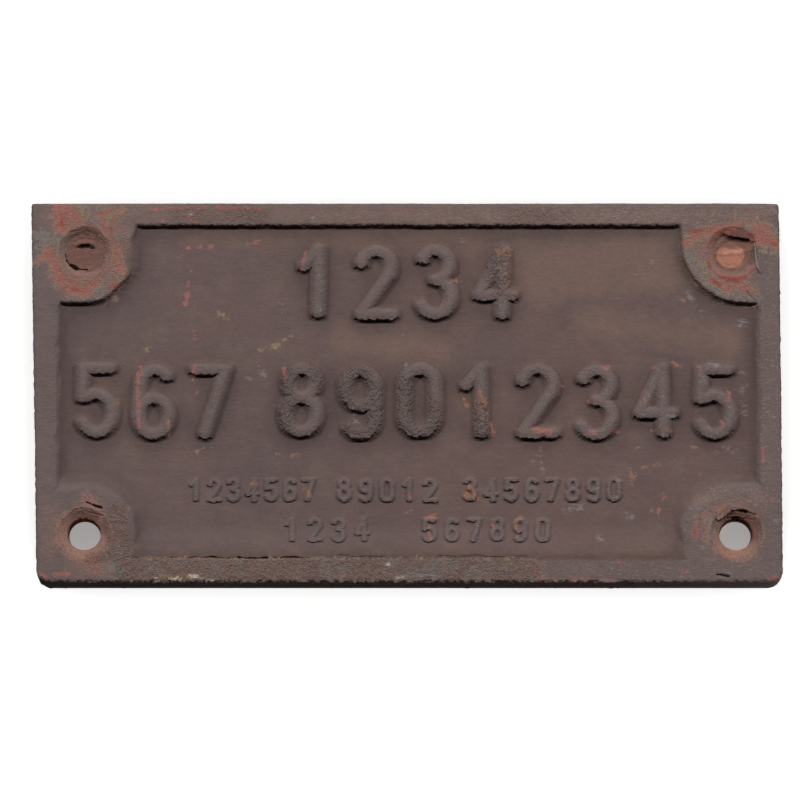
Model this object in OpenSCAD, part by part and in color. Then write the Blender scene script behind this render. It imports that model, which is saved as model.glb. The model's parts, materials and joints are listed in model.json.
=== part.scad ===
// Cast-iron plate from a railway wagon: one sand casting with a raised rim, four corner pads and
// four countersunk fixing holes, and the stubs of two rivets still jammed in the upper holes.
// The plate lies on its back. X runs along it, Y up it, and its face looks up, towards +Z.
// The origin is the middle of the flat back, which lies on the plane Z = 0.

/* [Plate] */
// Width of the front face, between the theoretical edges of the rim
face_w = 200; // [160:1:260]
// Height of the front face, between the theoretical edges of the rim
face_h = 102.5; // [90:0.5:140]
// Thickness of the casting from its flat back to the rim's face
plate_t = 9; // [7:0.5:14]
// Radius of the plate's two upper corners at the front face
upper_corner_r = 1.5; // [1:0.5:5]
// Radius of the plate's two lower corners at the front face
lower_corner_r = 3; // [1:0.5:5]
// How far each edge flares out from the front face to the back, so that the pattern left the sand
edge_draft = 1; // [0.4:0.1:2]
// Radius that rounds the rim's outer edge at the front face
edge_round = 0.8; // [0.3:0.1:1.5]

/* [Rim and field] */
// Width of the raised rim at the front face, along the sides and the upper edge
rim_w = 5.5; // [4:0.1:9]
// Width of the raised rim along the lower edge
lower_rim_w = 6.5; // [4:0.1:9]
// Depth of the sunken field below the rim's face
field_depth = 1.9; // [1.4:0.1:3]
// How far the rim's inner wall leans out over the field's depth
wall_draft = 0.7; // [0.1:0.05:1.2]
// Radius of the fillet where the inner wall meets the field
foot_round = 0.8; // [0.3:0.1:1]
// Radius that rounds the top of the inner wall
lip_round = 0.4; // [0.1:0.05:0.5]

/* [Corner pads] */
// Radius of a corner pad about its fixing hole
pad_r = 13.6; // [11:0.1:18]
// Radius of the free corner of the upper right pad, which is rounder than the other three
round_pad_r = 17; // [10:0.1:18]

/* [Fixing holes] */
// Distance of each hole's centre from the nearest side edge of the front face
hole_inset = 12.5; // [11:0.25:15]
// Distance of each hole's centre from the nearest upper or lower edge of the front face
hole_drop = 13; // [11:0.25:15]
// Diameter of the hole
hole_d = 9; // [6:0.5:11]
// Diameter of the countersink at the rim's face
sink_d = 14; // [12:0.5:18]
// Depth of the countersink
sink_depth = 1.5; // [1:0.1:3]

/* [Rivet stubs] */
// Gap between a stub's shank and the wall of its hole
shank_gap = 0.1; // [0.05:0.05:0.3]
// How far each stub's back end lies inside the hole, so that the plate's back sits flat
back_recess = 0.5; // [0.2:0.1:1.5]
// Chamfer on both ends of a shank
shank_chamfer = 0.4; // [0.2:0.1:0.8]
// Height of the left stub's torn face above the foot of the countersink
left_rise = 0.7; // [0.3:0.1:0.9]
// Slope of the left stub's torn face, in degrees
left_slope = 5; // [2:1:8]
// Height of the right stub's sheared face above the foot of the countersink
right_rise = 0.4; // [0.3:0.1:0.9]
// Slope of the right stub's sheared face, in degrees
right_slope = 3; // [2:1:8]

/* [Hidden] */
$fn = 96;
// Steps in each small rounded edge and fillet of a profile
round_steps = 5;
// How far a cutting shape runs past the surface that it cuts
past = 1;

field_z = plate_t - field_depth;
sink_foot_z = plate_t - sink_depth;
hole_r = hole_d / 2;
hole_x = face_w / 2 - hole_inset;
hole_y = face_h / 2 - hole_drop;
shank_r = hole_r - shank_gap;

// Each corner as the two mirrors, across and up, that carry the upper right corner to it
upper_right = [0, 0];
corners = [upper_right, [1, 0], [0, 1], [1, 1]];

iron_brown = [0.38, 0.32, 0.30];
stub_brown = [0.43, 0.31, 0.27];
stub_orange = [0.65, 0.40, 0.27];

// Points along an arc of radius r about c, from angle a0 to angle a1
function arc(c, r, a0, a1) =
    [for (i = [0 : round_steps]) let (a = a0 + (a1 - a0) * i / round_steps) c + r * [cos(a), sin(a)]];

function shifted(points, dx) = [for (p = points) [p[0] + dx, p[1]]];
function turned_over(points) = [for (i = [len(points) - 1 : -1 : 0]) [-points[i][0], points[i][1]]];

// The inner wall in section, from the field up to the rim's face.
// Its x grows towards the field and is 0 where the sloping wall would meet the face.
wall_lean = atan(wall_draft / field_depth);
function wall_x(z) = wall_draft * (plate_t - z) / field_depth;
foot_centre = [wall_x(field_z + foot_round) + foot_round / cos(wall_lean), field_z + foot_round];
lip_centre = [wall_x(plate_t - lip_round) - lip_round / cos(wall_lean), plate_t - lip_round];
wall_profile = concat(
    [[foot_centre[0], 0]],
    arc(foot_centre, foot_round, 270, 180 + wall_lean),
    arc(lip_centre, lip_round, wall_lean, 90)
);

// The outer edge in section, from the back up to the rim's face.
// Its x grows outwards and is 0 where the sloping edge would meet the face.
edge_lean = atan(edge_draft / plate_t);
function edge_x(z) = edge_draft * (plate_t - z) / plate_t;
edge_centre = [edge_x(plate_t - edge_round) - edge_round / cos(edge_lean), plate_t - edge_round];
edge_profile = concat([[edge_draft, 0]], arc(edge_centre, edge_round, edge_lean, 90));

// Carries what is drawn for the upper right corner, at +X +Y, to another corner
module at_corner(flips) {
    mirror([flips[0], 0, 0]) mirror([0, flips[1], 0]) children();
}

module at_each_corner() {
    for (flips = corners) at_corner(flips) children();
}

// A bar that runs along X and is centred there, its section's x along Y
module bar_along_x(length) {
    rotate([90, 0, 90]) linear_extrude(length, center = true) children();
}

// A bar that runs along Y and is centred there, its section's x along X
module bar_along_y(length) {
    rotate([90, 0, 0]) linear_extrude(length, center = true) children();
}

// The rim in section: the drafted outer edge, the flat face and the drafted inner wall
module rim_section(w) {
    polygon(concat(edge_profile, turned_over(shifted(wall_profile, w))));
}

// A straight length of the rim along the upper edge, between corners of radius r.
// A mirror carries it to the lower edge.
module long_rim(w, r) {
    translate([0, face_h / 2, 0]) bar_along_x(face_w - 2 * r) rim_section(w);
}

// A straight length of the rim along the right edge. A mirror carries it to the left edge.
module short_rim() {
    translate([face_w / 2, (lower_corner_r - upper_corner_r) / 2, 0])
        bar_along_y(face_h - upper_corner_r - lower_corner_r) rim_section(rim_w);
}

// The rounded outer corner of the rim at the upper right
module rim_corner(r) {
    translate([face_w / 2 - r, face_h / 2 - r, 0]) rotate_extrude(angle = 90)
        polygon(concat([[0, 0]], shifted(edge_profile, r), [[0, plate_t]]));
}

// The four straight lengths of the rim and the rounded corners that join them
module rim() {
    long_rim(rim_w, upper_corner_r);
    mirror([0, 1, 0]) long_rim(lower_rim_w, lower_corner_r);
    for (side = [0, 1]) mirror([side, 0, 0]) short_rim();
    for (flips = corners)
        at_corner(flips) rim_corner(flips[1] == 0 ? upper_corner_r : lower_corner_r);
}

// The upper right corner's pad: a quarter turn of the inner wall round its free corner, and a
// straight length on each side that runs into the rim. At radius pad_r it turns about the hole.
module corner_pad(r) {
    turn_inset = hole_inset + pad_r - r;
    turn_drop = hole_drop + pad_r - r;
    across = turn_inset - rim_w / 2;
    up = turn_drop - rim_w / 2;
    translate([face_w / 2 - turn_inset, face_h / 2 - turn_drop, 0]) {
        rotate(180) rotate_extrude(angle = 90)
            polygon(concat([[0, 0]], shifted(wall_profile, r), [[0, plate_t]]));
        translate([0, up / 2, 0]) mirror([1, 0, 0]) bar_along_y(up)
            polygon(concat(shifted(wall_profile, r), [[-across, plate_t], [-across, 0]]));
        translate([across / 2, 0, 0]) mirror([0, 1, 0]) bar_along_x(across)
            polygon(concat(shifted(wall_profile, r), [[-up, plate_t], [-up, 0]]));
    }
}

// The web of iron behind the field
module field_web() {
    web_w = face_w - rim_w;
    web_h = face_h - rim_w;
    translate([-web_w / 2, -web_h / 2, 0]) cube([web_w, web_h, field_z]);
}

// A round hole through the plate with its countersink at the face
module fixing_hole() {
    sink_slope = (sink_d - hole_d) / 2 / sink_depth;
    rotate_extrude() polygon([
        [0, -past],
        [hole_r, -past],
        [hole_r, sink_foot_z],
        [hole_r + sink_slope * (sink_depth + past), plate_t + past],
        [0, plate_t + past]
    ]);
}

// The iron casting in one piece
module plate_casting() {
    color(iron_brown) difference() {
        union() {
            field_web();
            rim();
            for (flips = corners)
                at_corner(flips) corner_pad(flips == upper_right ? round_pad_r : pad_r);
        }
        at_each_corner() translate([hole_x, hole_y, 0]) fixing_hole();
    }
}

// What is left of a rivet's shank, broken off across its sloping front face
module rivet_stub(rise, slope) {
    front_z = sink_foot_z + rise;
    top_z = front_z + shank_r * tan(slope);
    difference() {
        rotate_extrude() polygon([
            [0, back_recess],
            [shank_r - shank_chamfer, back_recess],
            [shank_r, back_recess + shank_chamfer],
            [shank_r, top_z - shank_chamfer],
            [shank_r - shank_chamfer, top_z],
            [0, top_z]
        ]);
        translate([0, 0, front_z]) rotate([-slope, 0, 0])
            translate([-hole_d, -hole_d, 0]) cube([2 * hole_d, 2 * hole_d, hole_d]);
    }
}

module rivet_stub_left() {
    color(stub_brown) translate([-hole_x, hole_y, 0]) rivet_stub(left_rise, left_slope);
}

module rivet_stub_right() {
    color(stub_orange) translate([hole_x, hole_y, 0]) rivet_stub(right_rise, right_slope);
}

plate_casting();
rivet_stub_left();
rivet_stub_right();
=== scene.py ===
"""Old cast-iron wagon plate: a rusted casting with raised numerals under several coats of paint,
and the stubs of two rivets in its upper holes, lit and framed as a flatbed scan shows it.

The plate lies on its back on the floor. X runs along it, Y up it, and its face looks towards +Z.
Sizes and places in the tables are millimetres on the plate, and the scene is in metres.
"""

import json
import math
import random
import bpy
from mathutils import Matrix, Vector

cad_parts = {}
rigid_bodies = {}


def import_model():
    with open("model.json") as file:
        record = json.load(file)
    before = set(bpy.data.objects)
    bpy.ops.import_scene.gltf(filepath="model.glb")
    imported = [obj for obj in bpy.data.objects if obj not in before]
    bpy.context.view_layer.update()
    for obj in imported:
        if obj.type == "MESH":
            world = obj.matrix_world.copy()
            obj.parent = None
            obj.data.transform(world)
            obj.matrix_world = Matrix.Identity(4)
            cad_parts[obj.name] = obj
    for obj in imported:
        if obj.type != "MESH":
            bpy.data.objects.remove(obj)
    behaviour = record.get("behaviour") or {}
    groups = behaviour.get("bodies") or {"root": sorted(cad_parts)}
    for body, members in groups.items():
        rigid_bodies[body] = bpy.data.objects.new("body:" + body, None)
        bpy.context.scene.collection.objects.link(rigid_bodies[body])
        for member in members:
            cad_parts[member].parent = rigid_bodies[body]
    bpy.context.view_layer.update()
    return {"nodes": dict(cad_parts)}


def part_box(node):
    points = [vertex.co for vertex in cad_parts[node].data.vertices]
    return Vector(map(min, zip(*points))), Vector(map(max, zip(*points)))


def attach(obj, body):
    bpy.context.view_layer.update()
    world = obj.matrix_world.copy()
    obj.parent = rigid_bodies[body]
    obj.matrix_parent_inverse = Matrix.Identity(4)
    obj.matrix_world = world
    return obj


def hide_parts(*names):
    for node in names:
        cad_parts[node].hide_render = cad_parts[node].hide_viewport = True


bl_info = {
    "name": "Wagon Plate",
    "version": (1, 0, 0),
    "blender": (4, 5, 0),
    "location": "View3D > Sidebar > Wagon Plate",
    "description": "Builds a rusted cast-iron wagon plate with raised numerals and broken rivets",
    "category": "Add Mesh",
}

from types import SimpleNamespace

import bpy
import numpy as np
from bpy.props import FloatProperty, FloatVectorProperty, IntProperty, PointerProperty
from bpy.types import Operator, Panel, PropertyGroup
from mathutils import Vector

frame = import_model()

MM = 0.001

# Depths, gaps and offsets in millimetres that the frame doesn't tell
FIELD_DEPTH = 1.9
SINK_DEPTH = 1.5
STUB_GAP = 0.1
# How far to the right of its true place the lower right hole sits
HOLE_SHIFT = 0.8
# Height of the field's climb at the foot of the lower rim
RIM_FOOT = 1.75
# How far below the field a stroke's bank ends, and how deep a numeral's root goes
RUN_OUT = 0.04
NUMERAL_ROOT = 1
# Half the thickness of the slabs that the numerals are remeshed from
SLAB_HALF = 0.8
# Voxel that the flakes are remeshed at
FLAKE_VOXEL = 0.1
# Where the middle of the picture falls on the face
PICTURE_MIDDLE = (-2.3, -2.0)
# Most triangles that a piece may hold
MOST_TRIANGLES = 199000

# Heights and places on the plate, read from the frame
PLATE_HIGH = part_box("plate_casting")[1]
STUB_LOW, STUB_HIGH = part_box("rivet_stub_right")
FACE_Z = PLATE_HIGH.z / MM
FIELD_Z = FACE_Z - FIELD_DEPTH
SINK_Z = FACE_Z - SINK_DEPTH
HOLE_X = (STUB_LOW.x + STUB_HIGH.x) / 2 / MM
HOLE_Y = (STUB_LOW.y + STUB_HIGH.y) / 2 / MM
BORE_R = (STUB_HIGH.x - STUB_LOW.x) / 2 / MM + STUB_GAP

# Turns a place so that the pits on the strokes lean up to the right
DIAGONAL = np.array([[0.5, -1.0, 0], [0.5, 1.0, 0], [0, 0, 1.0]])

# Strokes of each numeral, in a box 1 wide and 1 high. A point is (x, y), and an arc is
# (centre x, centre y, radius x, radius y, first angle, last angle).
NUMERALS = {
    "0": [[(0.5, 0.74, 0.5, 0.26, 180, 0), (0.5, 0.26, 0.5, 0.26, 0, -180), (0, 0.74)]],
    "1": [[(0.58, 0), (0.58, 1)], [(0.52, 0.97), (0.12, 0.74)]],
    "2": [[(0.5, 0.74, 0.48, 0.26, 165, -30), (0.03, 0)], [(0.03, 0), (1, 0)]],
    "3": [[(0.48, 0.765, 0.44, 0.235, 155, -90)], [(0.48, 0.265, 0.5, 0.265, 90, -150)]],
    "4": [[(0.72, 0), (0.72, 1)], [(0.72, 1), (0, 0.3)], [(0, 0.3), (1, 0.3)]],
    "5": [
        [(0.92, 1), (0.1, 1)],
        [(0.1, 1), (0.06, 0.54)],
        [(0.06, 0.54), (0.48, 0.3, 0.5, 0.3, 118, -150)],
    ],
    "6": [[(0.52, 0.74, 0.46, 0.26, 40, 180), (0.03, 0.3)], [(0.5, 0.28, 0.48, 0.28, 180, -180)]],
    "7": [[(0.02, 1), (0.98, 1)], [(0.98, 1), (0.32, 0)]],
    "8": [[(0.5, 0.77, 0.43, 0.23, -90, 270)], [(0.5, 0.27, 0.5, 0.27, -270, 90)]],
    "9": [[(0.48, 0.26, 0.46, 0.26, -140, 0), (0.97, 0.7)], [(0.5, 0.72, 0.48, 0.28, 0, 360)]],
}

# A row of numerals: text, middle of the first one, pitch, height of their middles, height,
# width, width of a stroke and relief
NUMERAL_ROWS = (
    ("1234", -25.0, 16.2, 30.5, 21.2, 12.4, 3.9, 1.85),
    ("567", -84.2, 15.4, -2.0, 21.2, 12.4, 3.8, 1.80),
    ("890", -28.9, 15.95, -2.0, 21.2, 12.4, 4.0, 1.90),
    ("12345", 18.95, 15.95, -2.0, 21.2, 12.4, 3.7, 1.85),
)
SMALL_ROWS = (
    ("1234567", -57.5, 5.1, -26.2, 6.7, 3.9, 1.3, 0.64),
    ("89012", -17.4, 5.8, -26.2, 6.7, 4.0, 1.3, 0.74),
    ("34567890", 16.6, 5.55, -26.2, 6.7, 4.0, 1.3, 0.76),
    ("1234", -31.6, 6.35, -37.0, 6.8, 4.1, 1.3, 0.60),
    ("567890", 5.6, 6.12, -37.0, 6.8, 4.1, 1.3, 0.68),
)

# Wear on the face. A mark runs from (x, y) to (x, y) and reaches its last number to each
# side. Here several coats of paint show at once.
PATINA = (
    (-93, 47, -82, 47.5, 3.6), (-96, 39, -93.5, 31, 3.0), (-91, 28.5, -81, 29.5, 3.4),
    (-80, 32, -79, 42, 3.4), (79, 42.5, 83, 44.5, 1.8), (-82, 44, -79, 42, 2.4),
    (77.5, 40, 79.5, 33, 3.0), (81, 31, 92, 27.5, 3.0), (93.5, 44, 98.5, 42, 2.6),
    (-86, -46.5, -80, -46.5, 2.6), (-79, -46, -77, -48, 2.6), (-86.5, -28.6, -84.6, -29.6, 1.0),
)

# Warmer top coat
WARMTH = (
    (-98, 48.6, 96, 48.6, 2.6), (-84, 38, -80, 46, 4), (86, 32, 80, 38, 5), (32, 33, 74, 36, 8),
    (48, 20, 86, 14, 4), (-18, 14, 8, 11, 4), (-60, 42, 20, 42, 2), (12, -2, 22, -6, 3),
    (-84, -34, -88, -46, 5), (-70, -48, 34, -48, 2.5), (-97, -32, -97, -44, 2),
    (78, -29, 96, -29, 2), (-77, 44, -77, 33, 2),
)

# Primer in chips through all the coats
RED_LEAD = (
    (-94.1, 50, -93.6, 45.2, 1.76), (-91.1, 50, -89.5, 46.5, 0.95), (-83, 48.4, -82.2, 43.5, 0.59),
    (-96.3, 37.3, -95.4, 33.8, 0.97), (-95.4, 33.8, -93.6, 30.2, 0.97),
    (-93.6, 30.2, -90.6, 29.7, 0.65), (-91.4, 28.6, -87.1, 27.5, 1.24),
    (-86, 28.9, -83.8, 30.2, 0.7), (-79, 37.6, -77.9, 33.8, 0.7), (-77.8, 33.2, -77.0, 32.6, 0.4),
    (-100.3, 35.4, -97.1, 39.5, 0.24), (-81.7, 48.7, -77.4, 49.8, 0.27),
    (75.2, 41.1, 79.2, 43.5, 0.59), (79.2, 43.5, 83, 44.6, 0.59), (80.6, 43.3, 84.6, 45.2, 0.49),
    (84.6, 45.2, 89.5, 46.2, 0.49), (93.6, 42.4, 96.8, 42.2, 1.89), (94.1, 45.7, 96.8, 44.6, 0.81),
    (97.1, 41.6, 100.3, 40, 0.81), (81.7, 30.8, 83.3, 29.7, 0.43), (84.9, 29.7, 86.8, 28.1, 0.65),
    (88.2, 29.7, 90, 29.7, 0.41), (91.1, 28.9, 91.7, 28.3, 0.38), (74.9, 41.4, 75.5, 40.5, 0.38),
)

# Scratches and chips down to the primer
RED_TRACES = (
    (-69.8, 50, -54.9, 50.3, 0.3), (-52.2, 50.6, -39.6, 50, 0.32),
    (-60.6, 48.4, -57.4, 46.5, 0.27), (-66.8, 47.1, -66.3, 46.8, 0.38),
    (-60.3, 39.7, -52.8, 40, 0.46), (-43.9, 41.1, -39.3, 41.4, 0.41),
    (-58.5, 33.5, -60.6, 23.2, 0.59), (-57.9, 18, -57.4, 13.2, 0.38),
    (-64.1, 36.5, -60.1, 35.9, 0.24), (-73.3, 5.6, -72.8, -9.1, 0.43), (-72.5, 7.7, -72, 5, 0.32),
    (-58.5, 3.7, -57.9, 7.2, 0.43), (-57.6, 0.9, -56.3, -1.5, 0.24),
    (-33.6, 6.6, -33.3, 3.7, 0.43), (-67.9, -18.3, -64.9, -18.6, 0.46),
    (22.3, -8.5, 23.1, -11, 0.54), (14.7, -4.2, 15.3, -5.8, 0.32),
    (34.2, -10.2, 38.2, -10.7, 0.81), (40.9, 2.6, 41.7, 2, 0.43), (52.8, 6.9, 53.9, 6.9, 0.35),
    (48.5, -2, 49, -2.6, 0.38), (49, -10.4, 50.1, -10.7, 0.43), (55.2, -10.4, 56.8, -10.4, 0.38),
    (66, 6.9, 66.8, 6.9, 0.35), (69.8, -10.2, 70.9, -10.4, 0.35), (78.2, 7.2, 79, 6.4, 0.43),
    (86.5, 0.1, 86.8, -2.3, 0.49), (76.8, -5, 77.6, -5, 0.35), (84.4, -7.5, 84.9, -8.8, 0.38),
    (95.4, -15.3, 95.7, -18.3, 0.43), (-28.8, 34, -27.7, 38.6, 0.24),
    (22.3, -35.7, 22.8, -36.5, 0.38), (0.4, -27.8, 0.9, -28.6, 0.38),
    (36, -50.6, 55.5, -50.6, 0.24), (33.1, -46, 34.7, -49.8, 0.22),
    (56.6, -45.7, 57.4, -46.5, 0.27), (73.3, -49.5, 75.2, -48.4, 0.27),
    (97.1, -50.9, 99.2, -49.8, 0.38), (77.1, -35.7, 77.1, -39.2, 0.24),
    (97.6, -28.6, 98.4, -29.2, 0.3), (-99.5, -48.7, -97.9, -50, 0.49),
    (-95.2, -49, -91.9, -49.2, 0.59),
)

# Bright rust
RUST = (
    (-76.5, -45.1, -56.3, -45.0, -0.1), (-56.3, -45.0, -45.5, -45.2, -0.05),
    (-44.1, -45.1, -26.1, -45.0, -0.05), (-21.2, -44.7, 5.8, -44.7, -0.2),
    (8.5, -44.8, 31.5, -45.0, -0.2), (84.6, -43.4, 90.4, -43.6, 0.7),
    (-64.9, -7.7, -64.7, -11, 0.49), (15, -0.9, 16.1, -3.4, 0.59), (19, 0.7, 20.7, -2.6, 0.54),
    (47.9, 2.8, 48.5, 2.3, 0.38), (63.9, -2, 64.4, -2.6, 0.35), (64.9, -9.4, 66.3, -9.9, 0.43),
    (71.4, 8.5, 73, 7.5, 0.59), (75.5, -14.8, 77.9, -15.1, 0.43), (76.3, -16.9, 77.1, -17.5, 0.38),
    (62.8, -20.2, 73.8, -18, 0.22), (77.4, -22.1, 80.9, -21.8, 0.22),
    (59.8, -20.5, 60.6, -24.5, 0.38), (60.1, -23.7, 60.9, -24.3, 0.43),
    (4.7, -33.8, 7.4, -33.5, 0.54), (5.3, -35.7, 6.3, -40, 0.38), (28.8, -35.1, 30.1, -33.8, 0.43),
    (29, -35.7, 29.8, -38.4, 0.38), (15, -28.6, 16.6, -25.9, 0.54),
    (16.6, -25.4, 18.5, -28.9, 0.54), (-27.9, -25.9, -26.3, -28.3, 0.43),
    (-42.3, -24.5, -40.6, -24.5, 0.38), (69, -27, 69, -28.6, 0.43),
    (62.8, -30.2, 65.7, -31.3, 0.43), (66.6, -33.2, 67.9, -30.8, 0.38),
    (-34.4, 27.8, -33.9, 25.9, 0.49), (74.0, 25.3, 74.8, 25.1, 0.3), (58.5, 34, 59.5, 33.8, 0.38),
    (23.9, 38.9, 26.9, 38.1, 0.65), (82.5, -32.4, 85.2, -31.1, 0.38),
    (11.7, 31.1, 13.9, 30.8, 0.38), (-3.6, 16.9, -1.8, 16.4, 0.43),
    (-36, -16.9, -29.3, -16.7, 0.27), (-78.4, -2, -78.2, -3.1, 0.27),
)

# Undercoat where the top coat is gone
UNDERCOAT = (
    (-101.1, 43.3, -96.3, 41.4, 1.35), (-100.6, 39.2, -95.2, 38.6, 1.35),
    (-93.6, 50.3, -90.3, 49, 0.95), (-88.2, 50.3, -83.3, 46.2, 1.49),
    (-83.8, 50.6, -82.2, 48.4, 0.81), (-90.3, 26.7, -82.2, 27.8, 1.08),
    (-82.2, 29.2, -79.5, 31.6, 0.95), (-83.3, 38.6, -81.7, 36.5, 0.54),
    (75.5, 42.4, 77.9, 42.7, 0.65), (76, 39.2, 78.7, 35.4, 1.76), (77.6, 35.4, 80.3, 31.6, 1.62),
    (80.1, 31.6, 84.6, 27.3, 1.76), (85.2, 27.3, 90.9, 25.6, 1.35), (90.9, 26.2, 94.4, 25.1, 0.95),
    (97.1, 44.6, 99.8, 43, 0.81), (96.3, 38.9, 99.8, 37.8, 0.7), (97.6, 50.6, 99.8, 49.2, 0.95),
    (92.7, 45.7, 93.8, 44.6, 0.54), (-80.4, -46.2, -78, -48.4, 1.7),
    (81.5, -34.6, 81.6, -39.4, 0.7),
)

# Yellow-brown stains
OCHRE = (
    (-88.4, 49.8, -87.1, 47.9, 0.54), (-86.5, 45.2, -84.9, 44.1, 0.27),
    (-41.4, 11.8, -34.7, 12.3, 0.38), (-38.2, 12.3, -32, 15.3, 0.38),
    (-52.2, 22.1, -49.5, 20.5, 0.54), (-72, 12.3, -70.1, 11.8, 0.41),
    (-30.1, 21.3, -29.6, 20.2, 0.38), (77.4, 36.5, 80.3, 34.8, 0.43),
    (79.2, 34.3, 80.3, 32.7, 0.38), (96, 38.4, 98.1, 38.1, 0.32),
    (-59.4, -49.6, -55.6, -49.8, 0.5), (-67.6, -50.3, -61.4, -50.3, 0.3),
    (1.8, -44.3, 4.5, -45.4, 0.38), (26.6, -44.9, 27.7, -46, 0.43),
    (-57.4, -15.9, -53.1, -14.5, 0.22),
)

# Pale rubbed marks
SCUFFS = (
    (81.4, 33.0, 84.6, 30.5, 0.12), (79.4, 37.6, 79.6, 37.2, 0.25),
    (-84.2, 26.3, -83.9, 26.2, 0.1), (-59.3, 49, -58.7, 48.4, 0.49),
    (-84.1, 28.9, -83.8, 28.6, 0.32), (-48.5, 34, -48.2, 33.8, 0.22),
    (-95.2, 41.4, -94.9, 41.1, 0.27), (-23.9, 28.9, -23.6, 28.6, 0.24),
    (-23.9, 23.5, -23.6, 22.9, 0.24), (14.4, 42.2, 14.7, 41.9, 0.24),
    (27.1, 39.5, 27.7, 38.9, 0.38), (-35, 24.3, -33.6, 22.4, 0.54), (-1.2, 8.3, -0.9, 8, 0.27),
    (89.2, 47.1, 88.7, 47.3, 0.27), (78.4, 40.3, 79, 40, 0.35), (81.9, 33, 82.5, 32.1, 0.32),
    (77.9, 45.4, 78.2, 44.9, 0.24), (55.2, 47.1, 55.8, 46.2, 0.22), (75.0, 28.0, 77.0, 25.0, 0.45),
    (79, 22.1, 80.9, 20.2, 0.81), (89.2, 19.7, 91.1, 19.1, 0.7), (62.2, 31.9, 62.8, 31.1, 0.54),
    (56.6, 25.1, 58.2, 24.8, 0.49), (65.2, 35.7, 66.3, 35.4, 0.38), (81.4, 8, 83, 7.5, 0.65),
    (80.3, 3.4, 80.9, 2.6, 0.54), (90, 6.1, 90, 4.5, 0.27), (89.5, 2, 91.1, 2, 0.19),
    (89.5, 0.4, 91.1, 0.4, 0.19), (89.5, -1.2, 91.4, -1.5, 0.19), (89.5, -3.1, 91.1, -3.1, 0.19),
    (89.5, -5, 90.9, -5.3, 0.19), (70.1, -6.6, 72, -6.9, 0.54), (60.9, -14.5, 62, -14.5, 0.49),
    (83, -15.3, 84.1, -15.3, 0.49), (86.3, -15.3, 89, -15.3, 0.38),
    (42.5, -31.9, 46.6, -30.8, 0.65), (50.9, -38.9, 51.7, -39.5, 0.43),
    (-0.1, -32.1, 1.2, -31.6, 0.38), (66.8, -50.6, 70.9, -50.3, 0.24),
    (99, -34.6, 99.2, -35.1, 0.32), (79.5, -41.6, 79.8, -41.9, 0.24), (86, -48.7, 86.5, -49, 0.32),
    (56, -23.5, 56.6, -24.3, 0.43), (59.3, -33, 60.6, -33.5, 0.49),
    (61.2, -22.1, 61.7, -22.9, 0.38), (-67.4, -50.3, -64.9, -50, 0.38),
    (-57.4, -50.3, -54.1, -50.9, 0.43), (-5.5, -46.5, -5, -46.8, 0.32),
    (-2.8, -50.3, 0.4, -49.5, 0.43), (1.5, -49.5, 6.9, -50.3, 0.49),
    (-15, -4.7, -14.2, -7.7, 0.43), (33.1, -17.2, 34.4, -18.3, 0.38),
    (35.8, -15.1, 36.3, -22.1, 0.16), (-41.4, 7.7, -39.6, 7.2, 0.49),
    (-39.6, 4.2, -38.7, 3.7, 0.38), (-43.6, 3.7, -42.5, 3.4, 0.27),
    (-26.1, 47.3, -25.5, 46.8, 0.27), (93.8, 34.8, 94.4, 34.3, 0.24),
)

# Coarse rust that lifted the paint: the lower rim, and beside the lower left hole
SCALE = (
    (-76, -47.9, 32, -48.1, 3.5), (-78.9, -32, -78.3, -43, 3.3), (-86, -44.5, -80, -44, 1.8),
)

# Coarse casting skin: the upper rim, and the strokes in the middle of the second row
COARSE = (
    (-62, 48, -40, 48.4, 2.4), (28, 48.2, 42, 48.2, 1.8), (-34, 8, -34, -13, 3.5),
    (-20, 8, -8, -13, 8.0), (-2, -2, 8, -12, 7.0), (20, -8, 22, -14, 6.0), (22, 38, 26, 30, 4.5),
)

# Thin rust in the open countersinks
CUPS = (
    (-87.5, -38.3, -87.5, -38.3, 7.4), (88.2, -39.2, 88.2, -39.2, 6.8),
    (85.5, -43.6, 90, -43.8, 1.4),
)

# Red-brown rust round the rivets and in other hollows, laid also as painted shade on the upper
# sides of the countersinks and holes and in a line under the right stub
BOWLS = (
    (-87.2, 40.4, -86.8, 40.0, 5.2), (-84.2, 38.6, -84.6, 36.8, 3.0),
    (-91.4, 43.6, -84, 43.2, 0.9), (87.5, 40.8, 87.5, 37.6, 4.7), (92.6, 38.6, 92.4, 36.4, 1.6),
    (84.8, 33.4, 90.6, 33.4, 0.3), (90, -33.2, 93.6, -34.6, 2.0), (94, -36.0, 93.2, -39, 1.6),
    (-82.2, -36.0, -82.2, -37, 0.9), (-90, -32.6, -84, -33.2, 0.9), (86, -32.6, 92, -33.4, 1.3),
)

# Faded primer that shows as a pink bloom
BLOOM = (
    (-92.4, 35.6, -91, 33.4, 1.5), (-91, 33.4, -86, 32.4, 1.6), (-86, 32.4, -83.2, 34.4, 1.3),
    (-79.6, 38, -79, 31, 2.4), (-84, 29.6, -90, 29.4, 1.8), (81.6, 41.8, 81.6, 35.2, 1.9),
    (81.6, 34, 85, 31.8, 1.3), (85, 31.8, 91.4, 32.2, 1.1), (91.4, 32.2, 93.6, 35.6, 1.1),
    (80.6, -33, 80.4, -39.6, 1.5), (77.8, -34, 77.4, -39, 0.9), (-94.2, -35, -94, -41, 1.2),
    (-86.6, -28.6, -84.8, -29.6, 1.1), (93.8, 44.8, 97.6, 42.4, 2.4), (-88, -45, -84, -45.4, 1.6),
    (84, -32.4, 88.6, -30.9, 0.7),
)

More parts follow.
